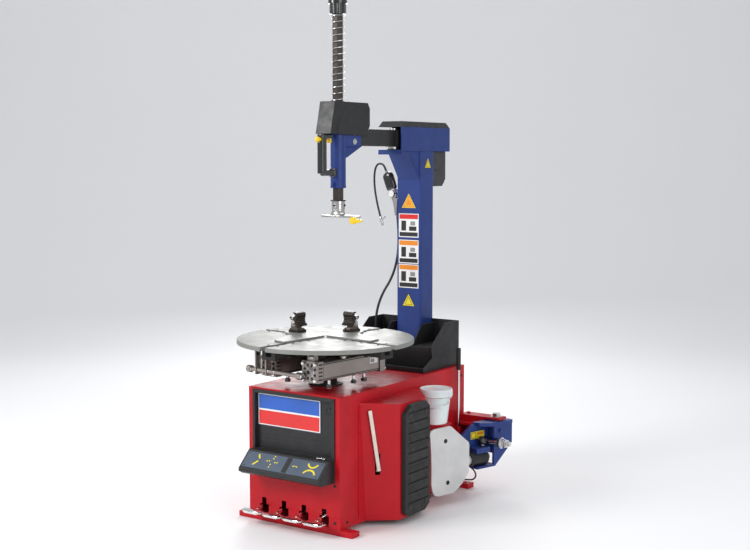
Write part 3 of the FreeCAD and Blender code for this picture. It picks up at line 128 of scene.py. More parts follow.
def finish_surface(graph, colour, rough, metal, coat, bump, dust):
    """Colour with cloudy variation and dust on top faces; uneven roughness; fine bump."""
    cloud = graph.noise(9.0, 5.0)
    shade = graph.blend(graph.remap(cloud, 0.3, 0.7, 0, 1), tinted(colour, 0.86), tinted(colour, 1.08))
    if dust:
        geometry = graph.node("ShaderNodeNewGeometry")
        split = graph.node("ShaderNodeSeparateXYZ")
        graph.link(geometry.outputs["Normal"], split.inputs["Vector"])
        up = graph.remap(split.outputs["Z"], 0.6, 1.0, 0, dust)
        speck = graph.remap(graph.noise(35.0, 6.0, 0.7), 0.42, 0.75, 0, 1)
        shade = graph.blend(graph.product(up, speck), shade, (0.42, 0.4, 0.37))
    graph.link(shade, graph.shader.inputs["Base Color"])
    streak = graph.remap(graph.noise(23.0, 4.0, 0.6), 0.3, 0.7, rough * 0.8, min(1.0, rough * 1.25))
    graph.link(streak, graph.shader.inputs["Roughness"])
    graph.shader.inputs["Metallic"].default_value = metal
    graph.shader.inputs["Coat Weight"].default_value = coat
    graph.shader.inputs["Coat Roughness"].default_value = 0.08
    scale, strength, depth = bump
    normal = graph.bump(graph.noise(scale, 2.0), strength, depth)
    graph.link(normal, graph.shader.inputs["Normal"])
    return graph


def surface(name, colour, rough, metal=0.0, coat=0.0, bump=(420.0, 0.08, 0.0004), dust=0.0):
    return finish_surface(Graph(name), colour, rough, metal, coat, bump, dust).material


def brushed(name, colour, rough, along, strength=0.25, metal=1.0):
    """Metal with fine lines along one axis ("x", "y" or "z")."""
    scale = {"x": (6, 900, 900), "y": (900, 6, 900), "z": (900, 900, 6)}[along]
    graph = Graph(name)
    finish_surface(graph, colour, rough, metal, 0.0, (150.0, 0.03, 0.0003), 0.0)
    lines = graph.noise(1.0, 3.0, 0.6, graph.stretched(scale))
    graph.add_bump(lines, strength, 0.00008)
    graph.link(graph.remap(lines, 0.3, 0.7, rough * 0.75, rough * 1.4), graph.shader.inputs["Roughness"])
    return graph.material


def turned_face(name, colour, rough, centre):
    """Dull metal with fine rings round a vertical axis."""
    graph = Graph(name)
    finish_surface(graph, colour, rough, 0.2, 0.0, (300.0, 0.05, 0.0003), 0.0)
    offset = graph.node("ShaderNodeVectorMath", operation="SUBTRACT")
    offset.inputs[1].default_value = (centre[0], centre[1], 0)
    graph.link(graph.coords, offset.inputs[0])
    flat = graph.node("ShaderNodeVectorMath", operation="MULTIPLY")
    flat.inputs[1].default_value = (1, 1, 0)
    graph.link(offset.outputs["Vector"], flat.inputs[0])
    radius = graph.node("ShaderNodeVectorMath", operation="LENGTH")
    graph.link(flat.outputs["Vector"], radius.inputs[0])
    rings = graph.node("ShaderNodeTexNoise", noise_dimensions="1D")
    rings.inputs["Scale"].default_value = 700.0
    graph.link(radius.outputs["Value"], rings.inputs["W"])
    graph.add_bump(rings.outputs["Fac"], 0.22, 0.00012)
    return graph.material


TABLE_Y = -0.222  # the turntable's axis

RED = surface("red_paint", (0.5, 0.006, 0.014), 0.42, coat=0.06, bump=(260.0, 0.05, 0.0006), dust=0.05)
BLUE = surface("blue_paint", (0.016, 0.042, 0.2), 0.4, coat=0.08, bump=(240.0, 0.06, 0.0006), dust=0.05)
BLACK_PAINT = surface("black_paint", (0.022, 0.022, 0.021), 0.42, coat=0.1, bump=(300.0, 0.12, 0.0005),
                      dust=0.12)
DARK_GREY = surface("dark_grey_paint", (0.035, 0.038, 0.04), 0.5, bump=(500.0, 0.2, 0.0004), dust=0.12)
BLACK_PLASTIC = surface("black_plastic", (0.012, 0.012, 0.013), 0.45, bump=(1600.0, 0.35, 0.00025), dust=0.05)
TRAY_PLASTIC = surface("tray_plastic", (0.01, 0.01, 0.011), 0.52, bump=(1100.0, 0.5, 0.0003), dust=0.1)
GLOSS_BLACK = surface("gloss_black", (0.01, 0.01, 0.01), 0.16, coat=0.6, bump=(90.0, 0.04, 0.0005))
RUBBER = surface("black_rubber", (0.014, 0.014, 0.014), 0.62, bump=(900.0, 0.4, 0.0003), dust=0.14)
HOSE = surface("hose_black", (0.014, 0.014, 0.015), 0.4, bump=(1200.0, 0.25, 0.0002), dust=0.1)
PLATE_BLUE = surface("panel_plate", (0.075, 0.105, 0.15), 0.35, coat=0.3, bump=(1400.0, 0.2, 0.0001))
TABLE = turned_face("table_steel", (0.25, 0.252, 0.232), 0.45, (0, TABLE_Y))
TABLE_EDGE = brushed("slide_steel", (0.27, 0.272, 0.252), 0.4, "x", 0.2, 0.2)
STEEL_Z = brushed("machined_steel", (0.62, 0.61, 0.58), 0.3, "z")
LEVER_STEEL = brushed("lever_steel", (0.72, 0.66, 0.58), 0.3, "z", 0.2, 0.8)
BLADE_STEEL = brushed("blade_steel", (0.68, 0.68, 0.67), 0.4, "z", 0.2, 0.35)
CHROME = surface("polished_chrome", (0.72, 0.72, 0.73), 0.11, metal=1.0, bump=(120.0, 0.03, 0.0004))
CAST_CHROME = surface("cast_steel", (0.56, 0.55, 0.53), 0.2, metal=1.0, bump=(70.0, 0.25, 0.0008))
DARK_BAR = brushed("oxide_bar", (0.045, 0.037, 0.032), 0.34, "z", 0.3, 0.7)
ALUMINIUM = brushed("bare_aluminium", (0.34, 0.3, 0.275), 0.36, "y", 0.25, 0.85)
PEDAL_METAL = surface("pedal_metal", (0.78, 0.78, 0.77), 0.16, metal=1.0, bump=(90.0, 0.08, 0.0006))
IRON = surface("dark_iron", (0.03, 0.028, 0.026), 0.42, metal=0.5, bump=(160.0, 0.3, 0.0006), dust=0.08)
JAW_IRON = surface("jaw_steel", (0.05, 0.042, 0.036), 0.34, metal=0.7, bump=(140.0, 0.25, 0.0005))
HOOK_STEEL = surface("hook_steel", (0.2, 0.165, 0.14), 0.34, metal=0.85, bump=(180.0, 0.25, 0.0005))
MOTOR_GREY = surface("motor_grey", (0.13, 0.15, 0.17), 0.45, bump=(300.0, 0.2, 0.0004), dust=0.15)
YELLOW = surface("yellow_plastic", (0.83, 0.56, 0.006), 0.28, coat=0.3, bump=(500.0, 0.08, 0.0003))
WHITE_PLASTIC = surface("white_plastic", (0.8, 0.81, 0.8), 0.38, bump=(200.0, 0.08, 0.0005))


def ink(name, colour, rough=0.4, coat=0.0):
    """Printed colour of a label or badge."""
    return surface("print_" + name, colour, rough, coat=coat, bump=(1500.0, 0.1, 0.0001))


INK_YELLOW = ink("yellow", (0.85, 0.68, 0.02))
INK_WHITE = ink("white", (0.82, 0.82, 0.8))
INK_RED = ink("red", (0.7, 0.012, 0.01), 0.35, 0.3)
INK_ORANGE = ink("orange", (0.8, 0.25, 0.01))
INK_BLUE = ink("blue", (0.008, 0.1, 0.5), 0.35, 0.3)
# print black, also used as the painted shade of the pan screws' cross recesses
INK_AND_SHADE_BLACK = ink("black", (0.012, 0.012, 0.012), 0.45)
INK_GREY = ink("grey", (0.25, 0.26, 0.27), 0.45)


def tune(material, setting, value):
    """Sets one input of a finished material's shader."""
    material.node_tree.nodes["Principled BSDF"].inputs[setting].default_value = value


tune(WHITE_PLASTIC, "Subsurface Weight", 0.2)
tune(WHITE_PLASTIC, "Subsurface Scale", 0.01)
for glossy, level in ((RED, 0.22), (BLUE, 0.3), (TABLE, 0.3), (TABLE_EDGE, 0.35), (BLACK_PAINT, 0.35)):
    tune(glossy, "Specular IOR Level", level)


# ---------- shapes
def frame_of(axis):
    """Two unit vectors square to axis, and axis itself."""
    w = Vector(axis).normalized()
    u = w.cross(X if abs(w.x) < 0.9 else Y).normalized()
    return u, w.cross(u), w


def circle(centre, u, v, radius, count):
    """Points round centre, in the plane of the unit vectors u and v."""
    return [centre + (u * cos(t) + v * sin(t)) * radius
            for t in (2 * pi * i / count for i in range(count))]


def spoke(degrees):
    """Unit vectors outwards and sideways at an angle round Z."""
    t = radians(degrees)
    return Vector((cos(t), sin(t), 0)), Vector((-sin(t), cos(t), 0))


SHARP = radians(32)  # edges sharper than this are rounded


def add_object(name, data):
    made = bpy.data.objects.new(name, data)
    bpy.context.scene.collection.objects.link(made)
    return made


class Piece:
    """Collects shapes into one mesh; place is the frame their numbers are in."""

    def __init__(self, name, place=Matrix.Identity(4)):
        self.name = name
        self.bm = bmesh.new()
        self.materials = []
        self.place = place

    def index(self, material):
        if material not in self.materials:
            self.materials.append(material)
        return self.materials.index(material)

    def loft(self, rings, material, cap=True, close=False):
        """Skins rings of equally many points; close joins the last ring to the first."""
        slot = self.index(material)
        made = [[self.bm.verts.new(self.place @ Vector(p)) for p in ring] for ring in rings]
        count = len(rings[0])
        pairs = list(zip(made, made[1:]))
        if close:
            pairs.append((made[-1], made[0]))
        faces = []
        for a, b in pairs:
            for i in range(count):
                j = (i + 1) % count
                faces.append(self.bm.faces.new((a[i], a[j], b[j], b[i])))
        if cap and not close:
            faces.append(self.bm.faces.new(list(reversed(made[0]))))
            faces.append(self.bm.faces.new(made[-1]))
        for face in faces:
            face.material_index = slot
            face.smooth = True

    def prism(self, outline, depth, material):
        depth = Vector(depth)
        self.loft([outline, [Vector(p) + depth for p in outline]], material)

    def box(self, low, high, material):
        (x0, y0, z0), (x1, y1, z1) = low, high
        self.prism([(x0, y0, z0), (x1, y0, z0), (x1, y1, z0), (x0, y1, z0)], (0, 0, z1 - z0), material)

    def lathe(self, profile, base, axis, material, count=40, cap=True):
        """profile is a list of (radius, height along axis)."""
        u, v, w = frame_of(axis)
        rings = [circle(Vector(base) + w * height, u, v, max(radius, 1e-5), count)
                 for radius, height in profile]
        self.loft(rings, material, cap)

    def rod(self, start, end, radius, material, count=24):
        """Round bar with a small chamfer at both ends."""
        start, end = Vector(start), Vector(end)
        length = (end - start).length
        r = min(0.0006, radius * 0.4, length * 0.4)
        profile = [(radius - r, 0), (radius, r), (radius, length - r), (radius - r, length)]
        self.lathe(profile, start, end - start, material, count)

    def sweep(self, points, radius, material, count):
        """Round tube along a line of close points."""
        points = [Vector(p) for p in points]
        u = frame_of(points[1] - points[0])[0]
        rings = []
        for i, p in enumerate(points):
            way = (points[min(i + 1, len(points) - 1)] - points[max(i - 1, 0)]).normalized()
            u = (u - way * u.dot(way)).normalized()
            rings.append(circle(p, u, way.cross(u), radius, count))
        self.loft(rings, material)

    def ring(self, centre, axis, radius, wire, material, count=40):
        """Torus."""
        u, v, w = frame_of(axis)
        rings = []
        for i in range(count):
            t = 2 * pi * i / count
            out = u * cos(t) + v * sin(t)
            rings.append(circle(Vector(centre) + out * radius, out, w, wire, 12))
        self.loft(rings, material, cap=False, close=True)

    def hex_bolt(self, seat, axis, flats, material, height=None, washer=True):
        """Hexagon head with a chamfered top on a washer, standing on seat along axis."""
        u, v, w = frame_of(axis)
        height = height or flats * 0.42
        lift = 0.0
        if washer:
            lift = flats * 0.1
            rim = [(flats * 0.85, 0), (flats * 0.9, lift * 0.4), (flats * 0.86, lift)]
            self.lathe(rim, seat, axis, material, 28)
        corner, top = flats / sqrt(3), lift + height
        levels = ((corner, lift), (corner, lift + height * 0.85), (corner * 0.88, top))
        self.loft([circle(Vector(seat) + w * z, u, v, radius, 6) for radius, z in levels], material)
        self.lathe([(flats * 0.3, top), (flats * 0.28, top + flats * 0.05)], seat, axis, material, 20)

    def pan_screw(self, seat, axis, radius, material):
        """Domed head with a cross shown as two dark bars: painted shade standing in for the cross recess."""
        u, v, w = frame_of(axis)
        profile = [(radius, 0), (radius, radius * 0.25), (radius * 0.85, radius * 0.5),
                   (radius * 0.5, radius * 0.65), (0, radius * 0.7)]
        self.lathe(profile, seat, axis, material, 24)
        middle = Vector(seat) + w * radius * 0.45
        long, short = radius * 0.5, radius * 0.09
        # the cross recess is not cut: two black bars paint its shade
        for a, b in ((u * long, v * short), (v * long, u * short)):
            self.prism([middle - a - b, middle + a - b, middle + a + b, middle - a + b], w * radius * 0.26,
                       INK_AND_SHADE_BLACK)

    def socket_screw(self, seat, axis, radius, material, height=None):
        """Cylinder head with a round socket."""
        height = height or radius * 1.1
        profile = [(radius, 0), (radius, height * 0.85), (radius * 0.88, height), (radius * 0.52, height),
                   (radius * 0.5, height * 0.45), (0, height * 0.4)]
        self.lathe(profile, seat, axis, material, 24)

    def made(self, body, bevel=0.0, replaces=(), slot=None):
        mesh = bpy.data.meshes.new(self.name)
        bmesh.ops.recalc_face_normals(self.bm, faces=self.bm.faces)
        self.bm.to_mesh(mesh)
        self.bm.free()
        for material in self.materials:
            mesh.materials.append(material)
        mesh.set_sharp_from_angle(angle=SHARP)
        piece = add_object(self.name, mesh)
        if bevel:
            round_edges(piece, bevel, 2)
        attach(piece, body)
        if replaces:
            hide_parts(*replaces)
        return piece


def round_edges(piece, width, segments):
    bevel = piece.modifiers.new("bevel", "BEVEL")
    bevel.width = width
    bevel.segments = segments
    bevel.limit_method = "ANGLE"
    bevel.angle_limit = SHARP
    normals = piece.modifiers.new("normals", "WEIGHTED_NORMAL")
    normals.weight = 60


def paint(node, material):
    piece = nodes[node]
    piece.data.materials.clear()
    piece.data.materials.append(material)
    return piece


def dress(node, material, width=0.0012, segments=2):
    """CAD node with its sharp edges rounded."""
    piece = paint(node, material)
    weld = piece.modifiers.new("weld", "WELD")
    weld.merge_threshold = 0.00001
    round_edges(piece, width, segments)


def cast(node, material, voxel, passes):
    """CAD node rounded all over like a casting or a moulding."""
    piece = paint(node, material)
    remesh = piece.modifiers.new("remesh", "REMESH")
    remesh.mode = "VOXEL"
    remesh.voxel_size = voxel
    remesh.use_smooth_shade = True
    smooth = piece.modifiers.new("smooth", "SMOOTH")
    smooth.iterations = passes


# ---------- base, cabinet, side box
dress("base_frame", RED, 0.002)
dress("cabinet_shell", RED, 0.0022, 3)
dress("left_side_panel", RED, 0.001)
dress("side_box", RED, 0.0028, 3)
dress("wheel_rest_pad", RUBBER, 0.006, 4)
dress("tyre_lever", LEVER_STEEL, 0.0009)

shell_marks = Piece("cabinet_details")
for z in (0.043, 0.172):
    shell_marks.pan_screw((0.178, -0.412, z), -Y, 0.0055, IRON)
for z in (0.06, 0.147, 0.2485, 0.34, 0.428):
    shell_marks.pan_screw((0.202, -0.297, z), X, 0.0042, RED)
for y, z in ((0.352, 0.06), (0.395, 0.44), (-0.37, 0.04), (0.395, 0.06)):
    shell_marks.pan_screw((0.2, y, z), X, 0.005, IRON)
for y in (-0.38, 0.0, 0.39):
    for z in (0.04, 0.46):
        shell_marks.pan_screw((-0.2, y, z), -X, 0.0055, IRON)
for x in (-0.185, 0.185):
    for z in (0.04, 0.46):
        shell_marks.pan_screw((x, 0.419, z), Y, 0.005, IRON)
shell_marks.box((-0.16, 0.4192, 0.3), (-0.04, 0.4204, 0.38), ALUMINIUM)
shell_marks.box((0.05, 0.419, 0.32), (0.13, 0.4202, 0.4), BLACK_PLASTIC)
shell_marks.made("machine", 0.0003)

welds = Piece("welds")


def weld_bead(start, end, radius=0.0022, material=RED):
    """Line of overlapping drops."""
    way = Vector(end) - Vector(start)
    steps = 4 * max(3, int(way.length / (radius * 1.1)))
    profile = [(radius * (0.82 + 0.18 * abs(sin(pi * i / 4))), way.length * i / steps)
               for i in range(steps + 1)]
    welds.lathe(profile, start, way, material, 10)


FOOT_BAR_TOP, COLUMN_FOOT_TOP = 0.0195, 0.4905
for side in (-1, 1):
    weld_bead((side * 0.2, -0.411, FOOT_BAR_TOP), (side * 0.2, -0.37, FOOT_BAR_TOP))
    weld_bead((side * 0.2, 0.37, FOOT_BAR_TOP), (side * 0.2, 0.41, FOOT_BAR_TOP))
    weld_bead((side * 0.054, 0.3235, COLUMN_FOOT_TOP), (side * 0.02, 0.3235, COLUMN_FOOT_TOP), material=BLUE)
    weld_bead((side * 0.0565, 0.33, COLUMN_FOOT_TOP), (side * 0.0565, 0.4, COLUMN_FOOT_TOP), material=BLUE)
    weld_bead((side * 0.0485, 0.326, 1.205), (side * 0.0485, 0.262, 1.298), 0.0016, BLUE)
welds.made("machine")

rest = Piece("wheel_rest_studs")
for y, z in ((-0.15, 0.06), (-0.15, 0.388), (-0.045, 0.06), (-0.045, 0.388)):
    rest.lathe([(0.0085, 0), (0.0085, 0.0012), (0.006, 0.0022), (0, 0.0024)], (0.314, y, z), X, IRON, 24)
for i in range(9):
    z = 0.066 + 0.036 * i
    rest.box((0.3136, -0.15, z + 0.011), (0.315, -0.036, z + 0.028), RUBBER)
rest.made("machine", 0.0012)

# ---------- console
dress("console_housing", BLACK_PLASTIC, 0.003, 3)
paint("console_plates", PLATE_BLUE)

SLOPE = atan2(56, 58)
SHELF_Y, SHELF_Z = -0.5, 0.206  # the sloping plate's lower edge
PLATE_THICK = 0.0015
up_shelf, shelf_normal = Vector((0, cos(SLOPE), sin(SLOPE))), Vector((0, -sin(SLOPE), cos(SLOPE)))


def on_shelf(x, s):
    """Point on the sloping shelf plate: x across, s up the slope (metres)."""
    return Vector((x, SHELF_Y, SHELF_Z)) + up_shelf * s + shelf_normal * PLATE_THICK


def shelf_uv(u, v):
    """u from 0 left to 1 right, v from 0 top to 1 bottom of the plate, as (x, s)."""
    return -0.168 + 0.336 * u, 0.072 - 0.064 * v


graphics = Piece("console_graphics")


def shelf_stroke(path, width, material=INK_YELLOW):
    """Flat strip along a path of (u, v) points."""
    points = [Vector(shelf_uv(u, v)) for u, v in path]
    left, right = [], []
    for i, p in enumerate(points):
        way = (points[min(i + 1, len(points) - 1)] - points[max(i - 1, 0)]).normalized()
        side = Vector((-way.y, way.x)) * width / 2
        left.append(p + side)
        right.append(p - side)
    for i in range(len(points) - 1):
        outline = [on_shelf(q.x, q.y) for q in (left[i], left[i + 1], right[i + 1], right[i])]
        graphics.prism(outline, shelf_normal * 0.0003, material)


def shelf_dot(u, v, radius):
    x, s = shelf_uv(u, v)
    graphics.lathe([(radius, 0), (radius, 0.0003)], on_shelf(x, s), shelf_normal, INK_YELLOW, 20)


def arc(cu, cv, ru, rv, start, end, count=12):
    return [(cu + ru * cos(radians(start + (end - start) * i / count)),
             cv + rv * sin(radians(start + (end - start) * i / count))) for i in range(count + 1)]


shelf_stroke([(0.153, 0.1), (0.163, 0.23), (0.183, 0.365)], 0.006)
shelf_stroke([(0.179, 0.514), (0.157, 0.65), (0.13, 0.8)], 0.006)
for u, v in ((0.363, 0.09), (0.357, 0.24), (0.348, 0.62), (0.345, 0.78), (0.29, 0.43), (0.318, 0.41),
             (0.393, 0.46), (0.421, 0.45)):
    shelf_dot(u, v, 0.0028)
shelf_stroke([(0.556, 0.02), (0.552, 0.97)], 0.021, INK_AND_SHADE_BLACK)
shelf_stroke([(0.625, 0.49), (0.652, 0.47)], 0.004)
shelf_stroke([(0.664, 0.47), (0.69, 0.5)], 0.004)
shelf_stroke(arc(0.862, 0.08, 0.062, 0.3, 165, 15), 0.0062)
shelf_stroke(arc(0.862, 0.87, 0.072, 0.32, 195, 345), 0.0062)
for u in (0.03, 0.97):
    for v in (0.1, 0.9):
        x, s = shelf_uv(u, v)
        graphics.pan_screw(on_shelf(x, s), shelf_normal, 0.0022, IRON)
graphics.made("machine")

badge = Piece("badge")
BADGE_FRONT = -0.402


def badge_field(x0, x1, z0, z1, lift, material):
    badge.box((x0, BADGE_FRONT - lift, z0), (x1, BADGE_FRONT + 0.0004, z1), material)


badge_field(-0.1635, 0.1095, 0.3465, 0.4575, 0.0002, INK_WHITE)
badge_field(-0.1605, 0.1065, 0.4045, 0.4545, 0.0004, INK_BLUE)
badge_field(-0.1605, 0.1065, 0.3495, 0.3985, 0.0004, INK_RED)
badge.made("machine")

recess = Piece("console_details")
recess.lathe([(0.0118, 0), (0.0118, 0.0028), (0.0098, 0.0032), (0.0092, 0.0016), (0, 0.0014)],
             (0.146, -0.4, 0.4255), -Y, BLACK_PLASTIC, 32)
recess.rod((0.112, -0.4285, 0.2655), (0.15, -0.4285, 0.2655), 0.0016, CHROME)
for x in (-0.1745, 0.1735):
    for z in (0.27, 0.466):
        recess.pan_screw((x, -0.417, z), -Y, 0.003, IRON)
for z in (0.285, 0.3, 0.315, 0.33):
    recess.box((-0.166, -0.4008, z), (0.164, -0.3998, z + 0.0012), BLACK_PLASTIC)
recess.made("machine", 0.0003)

# ---------- pedals
for number, x in enumerate((-0.133, -0.044, 0.044, 0.132), 1):
    name = "pedal_%d" % number
    dress(name, PEDAL_METAL, 0.0012, 3)
    tread = Piece(name + "_tread")
    sections = []
    for i in range(13):
        along = i / 12
        y = -0.4905 + 0.043 * along
        half = 0.0412 * (1 - abs(2 * along - 1) ** 3.2) ** 0.5 + 0.006
        crown = 0.0518 + 0.0042 * sin(pi * along) ** 0.8
        lean = 0.0018 * cos(pi * along)
        top = [(x + half * k / 6, y + lean, crown - 0.0026 * abs(k / 6) ** 2) for k in range(-6, 7)]
        low = [(x + half * k / 6, y + lean, 0.0505) for k in range(6, -7, -1)]
        sections.append(top + low)
    tread.loft(sections, PEDAL_METAL)
    tread.pan_screw((x, -0.444, 0.0555), Z, 0.0035, IRON)
    for side in (-1, 1):
        tread.ring((x + side * 0.0125, -0.19, 0.062), X, 0.0095, 0.0012, IRON)
    tread.made(name, 0.0005)
dress("pedal_frame", DARK_GREY, 0.001)

# ---------- drive
dress("gearbox", IRON, 0.003, 3)
dress("motor", MOTOR_GREY, 0.001)
dress("gearbox_pulley", IRON, 0.001)
dress("motor_pulley", IRON, 0.001)
paint("drive_belt", RUBBER)
drive = Piece("drive_details")
for x in (-0.07, 0.045):
    for y in (-0.292, -0.152):
        drive.hex_bolt((x, y, 0.42), Z, 0.013, IRON)
        drive.hex_bolt((x, y, 0.28), -Z, 0.013, IRON)
drive.box((-0.02, 0.02, 0.262), (0.07, 0.1, 0.2705), MOTOR_GREY)
for x in (-0.045, 0.085):
    for y in (0.005, 0.115):
        drive.hex_bolt((x, y, 0.134), Z, 0.01, IRON)
drive.made("machine", 0.001)
belt = Piece("belt_ribs")
big, small = Vector((-0.177, 0.33)), Vector((0.06, 0.2))  # (y, z) of the two pulleys
way = (small - big).normalized()
lean = asin(0.03 / (small - big).length)
BELT_X, BELT_RIBS = -0.1345, 36
for sign in (-1, 1):
    side = Vector((-way.y, way.x)) * sign
    offset = way * sin(lean) + side * cos(lean)
    a, b = big + offset * 0.0648, small + offset * 0.0348
    half_rib = (b - a).normalized() * 0.0012
    for i in range(BELT_RIBS):
        p = a.lerp(b, (i + 0.5) / BELT_RIBS)
        q = p + offset * 0.0006
        corners = (p - half_rib, p + half_rib, q + half_rib, q - half_rib)
        belt.prism([(BELT_X, *corner) for corner in corners], (0.009, 0, 0), RUBBER)
belt.made("machine")

# ---------- turntable and chuck
dress("turntable_plate", TABLE, 0.0016, 3)
dress("chuck_body", IRON, 0.0015)
dress("clamp_cylinders", ALUMINIUM, 0.0014)

CHUCK = Matrix.Translation((0, TABLE_Y, 0)) @ Matrix.Rotation(radians(-6), 4, "Z")


def chuck(quarter=0):
    """Chuck frame: origin on the turntable's axis, X along one of the four slots."""
    return CHUCK @ Matrix.Rotation(radians(90 * quarter), 4, "Z")


under = Piece("turntable_details")
for quarter in range(4):
    under.place = chuck(quarter)
    for side in (-1, 1):
        for r in (0.11, 0.19, 0.265):
            under.lathe([(0.0045, 0), (0.0045, 0.0012), (0.0036, 0.0006), (0, 0.0006)],
                        (r, side * 0.0225, 0.6479), Z, IRON, 20)
        for r in (0.13, 0.21):
            under.hex_bolt((r, side * 0.0225, 0.606), -Z, 0.011, IRON)
    for angle in (30, 60):
        post_foot = spoke(angle)[0] * 0.205 + Z * 0.612
        under.rod(post_foot, post_foot + Z * 0.021, 0.013, IRON)
        under.hex_bolt(post_foot, -Z, 0.016, STEEL_Z)

# the two clamp cylinders: their ends, middle height and half width in the chuck frame
FRONT, BACK, LEVEL, HALF = -0.188, 0.168, 0.558, 0.037
END_BLOCK = 0.029


def barrel_marks(x):
    """Gaskets, grooves along the barrel, a plain label and ribbed end-block sides."""
    for y in (FRONT + END_BLOCK, BACK - END_BLOCK):
        under.box((x - 0.0365, y - 0.0014, LEVEL - 0.0365), (x + 0.0365, y + 0.0014, LEVEL + 0.0365), IRON)
    for side in (-1, 1):
        face, edge = x + side * (HALF - 0.0029), x + side * HALF
        for z in (0.5325, 0.5835):
            under.box((face - 0.0006, FRONT + 0.031, z - 0.0011),
                      (face + 0.0006, BACK - 0.031, z + 0.0011), IRON)
        under.box((face - 0.0007, 0.086, 0.556), (face + 0.0009, 0.128, 0.576), INK_WHITE)
        under.box((face - 0.0007, 0.09, 0.5595), (face + 0.0011, 0.11, 0.5725), INK_GREY)
        for z in (0.53, 0.543, 0.556, 0.569, 0.582):
            under.box((edge - 0.0008, FRONT + 0.005, z), (edge + 0.0008, FRONT + 0.023, z + 0.005), IRON)


def end_block_bolts(x):
    for dx in (-0.028, 0.028):
        for dz in (-0.028, 0.028):
            for y, way in ((FRONT - 0.004, -Y), (BACK + 0.004, Y)):
                under.hex_bolt((x + dx, y, LEVEL + dz), way, 0.0115, CHROME, 0.005, washer=False)


def end_block_star(x):
    """Eight ribs round a capped hub on the front end block."""
    face = Vector((x, FRONT - 0.0002, LEVEL))
    for i in range(8):
        t = radians(45 * i + 22.5)
        out, wide = Vector((cos(t), 0, sin(t))), Vector((-sin(t), 0, cos(t)))
        a, b = face + out * 0.019, face + out * 0.03
        rib = [a - wide * 0.0026, a + wide * 0.0026, b + wide * 0.005, b - wide * 0.005]
        under.prism(rib, (0, -0.0012, 0), IRON)
    under.ring((x, FRONT - 0.0005, LEVEL), Y, 0.0175, 0.0016, CHROME)
    under.rod((x, FRONT - 0.0079, LEVEL), (x, FRONT + 0.002, LEVEL), 0.0153, CHROME, 40)
    under.rod((x, FRONT - 0.0076, LEVEL), (x, FRONT - 0.0086, LEVEL), 0.007, IRON, 24)


def hanging_fittings(x):
    """Three air fittings under the barrel, each a black cup on a chromed neck."""
    cup = [(0.0102, 0), (0.0104, 0.0015), (0.0096, 0.0022), (0.0104, 0.003), (0.0104, 0.0105),
           (0.0088, 0.0128), (0.004, 0.0136), (0, 0.0136)]
    for along in (0.075, 0.203, 0.259):
        seat = Vector((x + 0.02, FRONT + along, 0.5072))
        under.lathe(cup, seat, -Z, GLOSS_BLACK, 28)
        under.ring(seat + Z * 0.001, Z, 0.0066, 0.0012, CHROME, 24)
        under.rod(seat + Z * 0.0008, seat + Z * 0.0148, 0.0053, CHROME, 20)


under.place = chuck()
for x in (-0.1, 0.1):
    barrel_marks(x)
    end_block_bolts(x)
    end_block_star(x)
    hanging_fittings(x)
TIE_Y, TIE_Z = -0.2115, 0.544  # the rod that ties the cylinders' front ends
for x in (-0.174, -0.164, -0.12, -0.075, -0.045, 0.068, 0.076):
    under.ring((x, TIE_Y, TIE_Z), X, 0.0074, 0.001, CHROME)
for x in (-0.161, 0.082):
    under.hex_bolt((x, TIE_Y, TIE_Z), X, 0.02, CHROME, 0.006, washer=False)
for x in (-0.133, -0.083):
    under.rod((x - 0.0036, TIE_Y, 0.6), (x + 0.0036, TIE_Y, 0.6), 0.006, IRON, 24)
under.made("turntable", 0.0004)

for quarter, name in ((0, "slide_right"), (1, "slide_rear"), (2, "slide_left"), (3, "slide_front")):
    dress(name, TABLE_EDGE, 0.0013, 3)
    top = Piece(name + "_details", chuck(quarter))
    if quarter in (1, 2):
        top.socket_screw((0.112, 0.0, 0.6548), Z, 0.0052, IRON, 0.0026)
        top.lathe([(0.003, 0), (0.003, 0.0002), (0, 0.0002)], (0.16, 0.0, 0.6549), Z, INK_AND_SHADE_BLACK, 16)
    else:
        for r in (0.095, 0.13, 0.165):
            top.socket_screw((r, 0.0, 0.6475), Z, 0.0055, IRON, 0.0012)
    top.made(name, 0.0003)

JAW_FOOT = [(0.119, 0.664), (0.164, 0.664), (0.16, 0.6705), (0.123, 0.6705)]
JAW_POST = [(0.13, 0.67), (0.16, 0.67), (0.1585, 0.688), (0.148, 0.701), (0.136, 0.701)]
JAW_HOOK = [(0.112, 0.68), (0.1175, 0.677), (0.129, 0.685), (0.135, 0.696), (0.1345, 0.708),
            (0.13, 0.7185), (0.133, 0.7235), (0.14, 0.7262), (0.1405, 0.7295), (0.13, 0.7302),
            (0.1215, 0.7262), (0.1185, 0.717), (0.1225, 0.707), (0.1235, 0.6975), (0.1195, 0.6885),
            (0.1125, 0.6845)]
JAW_WEDGE = [(0.1345, 0.702), (0.153, 0.699), (0.1605, 0.7075), (0.157, 0.7135), (0.144, 0.7115),
             (0.132, 0.715)]


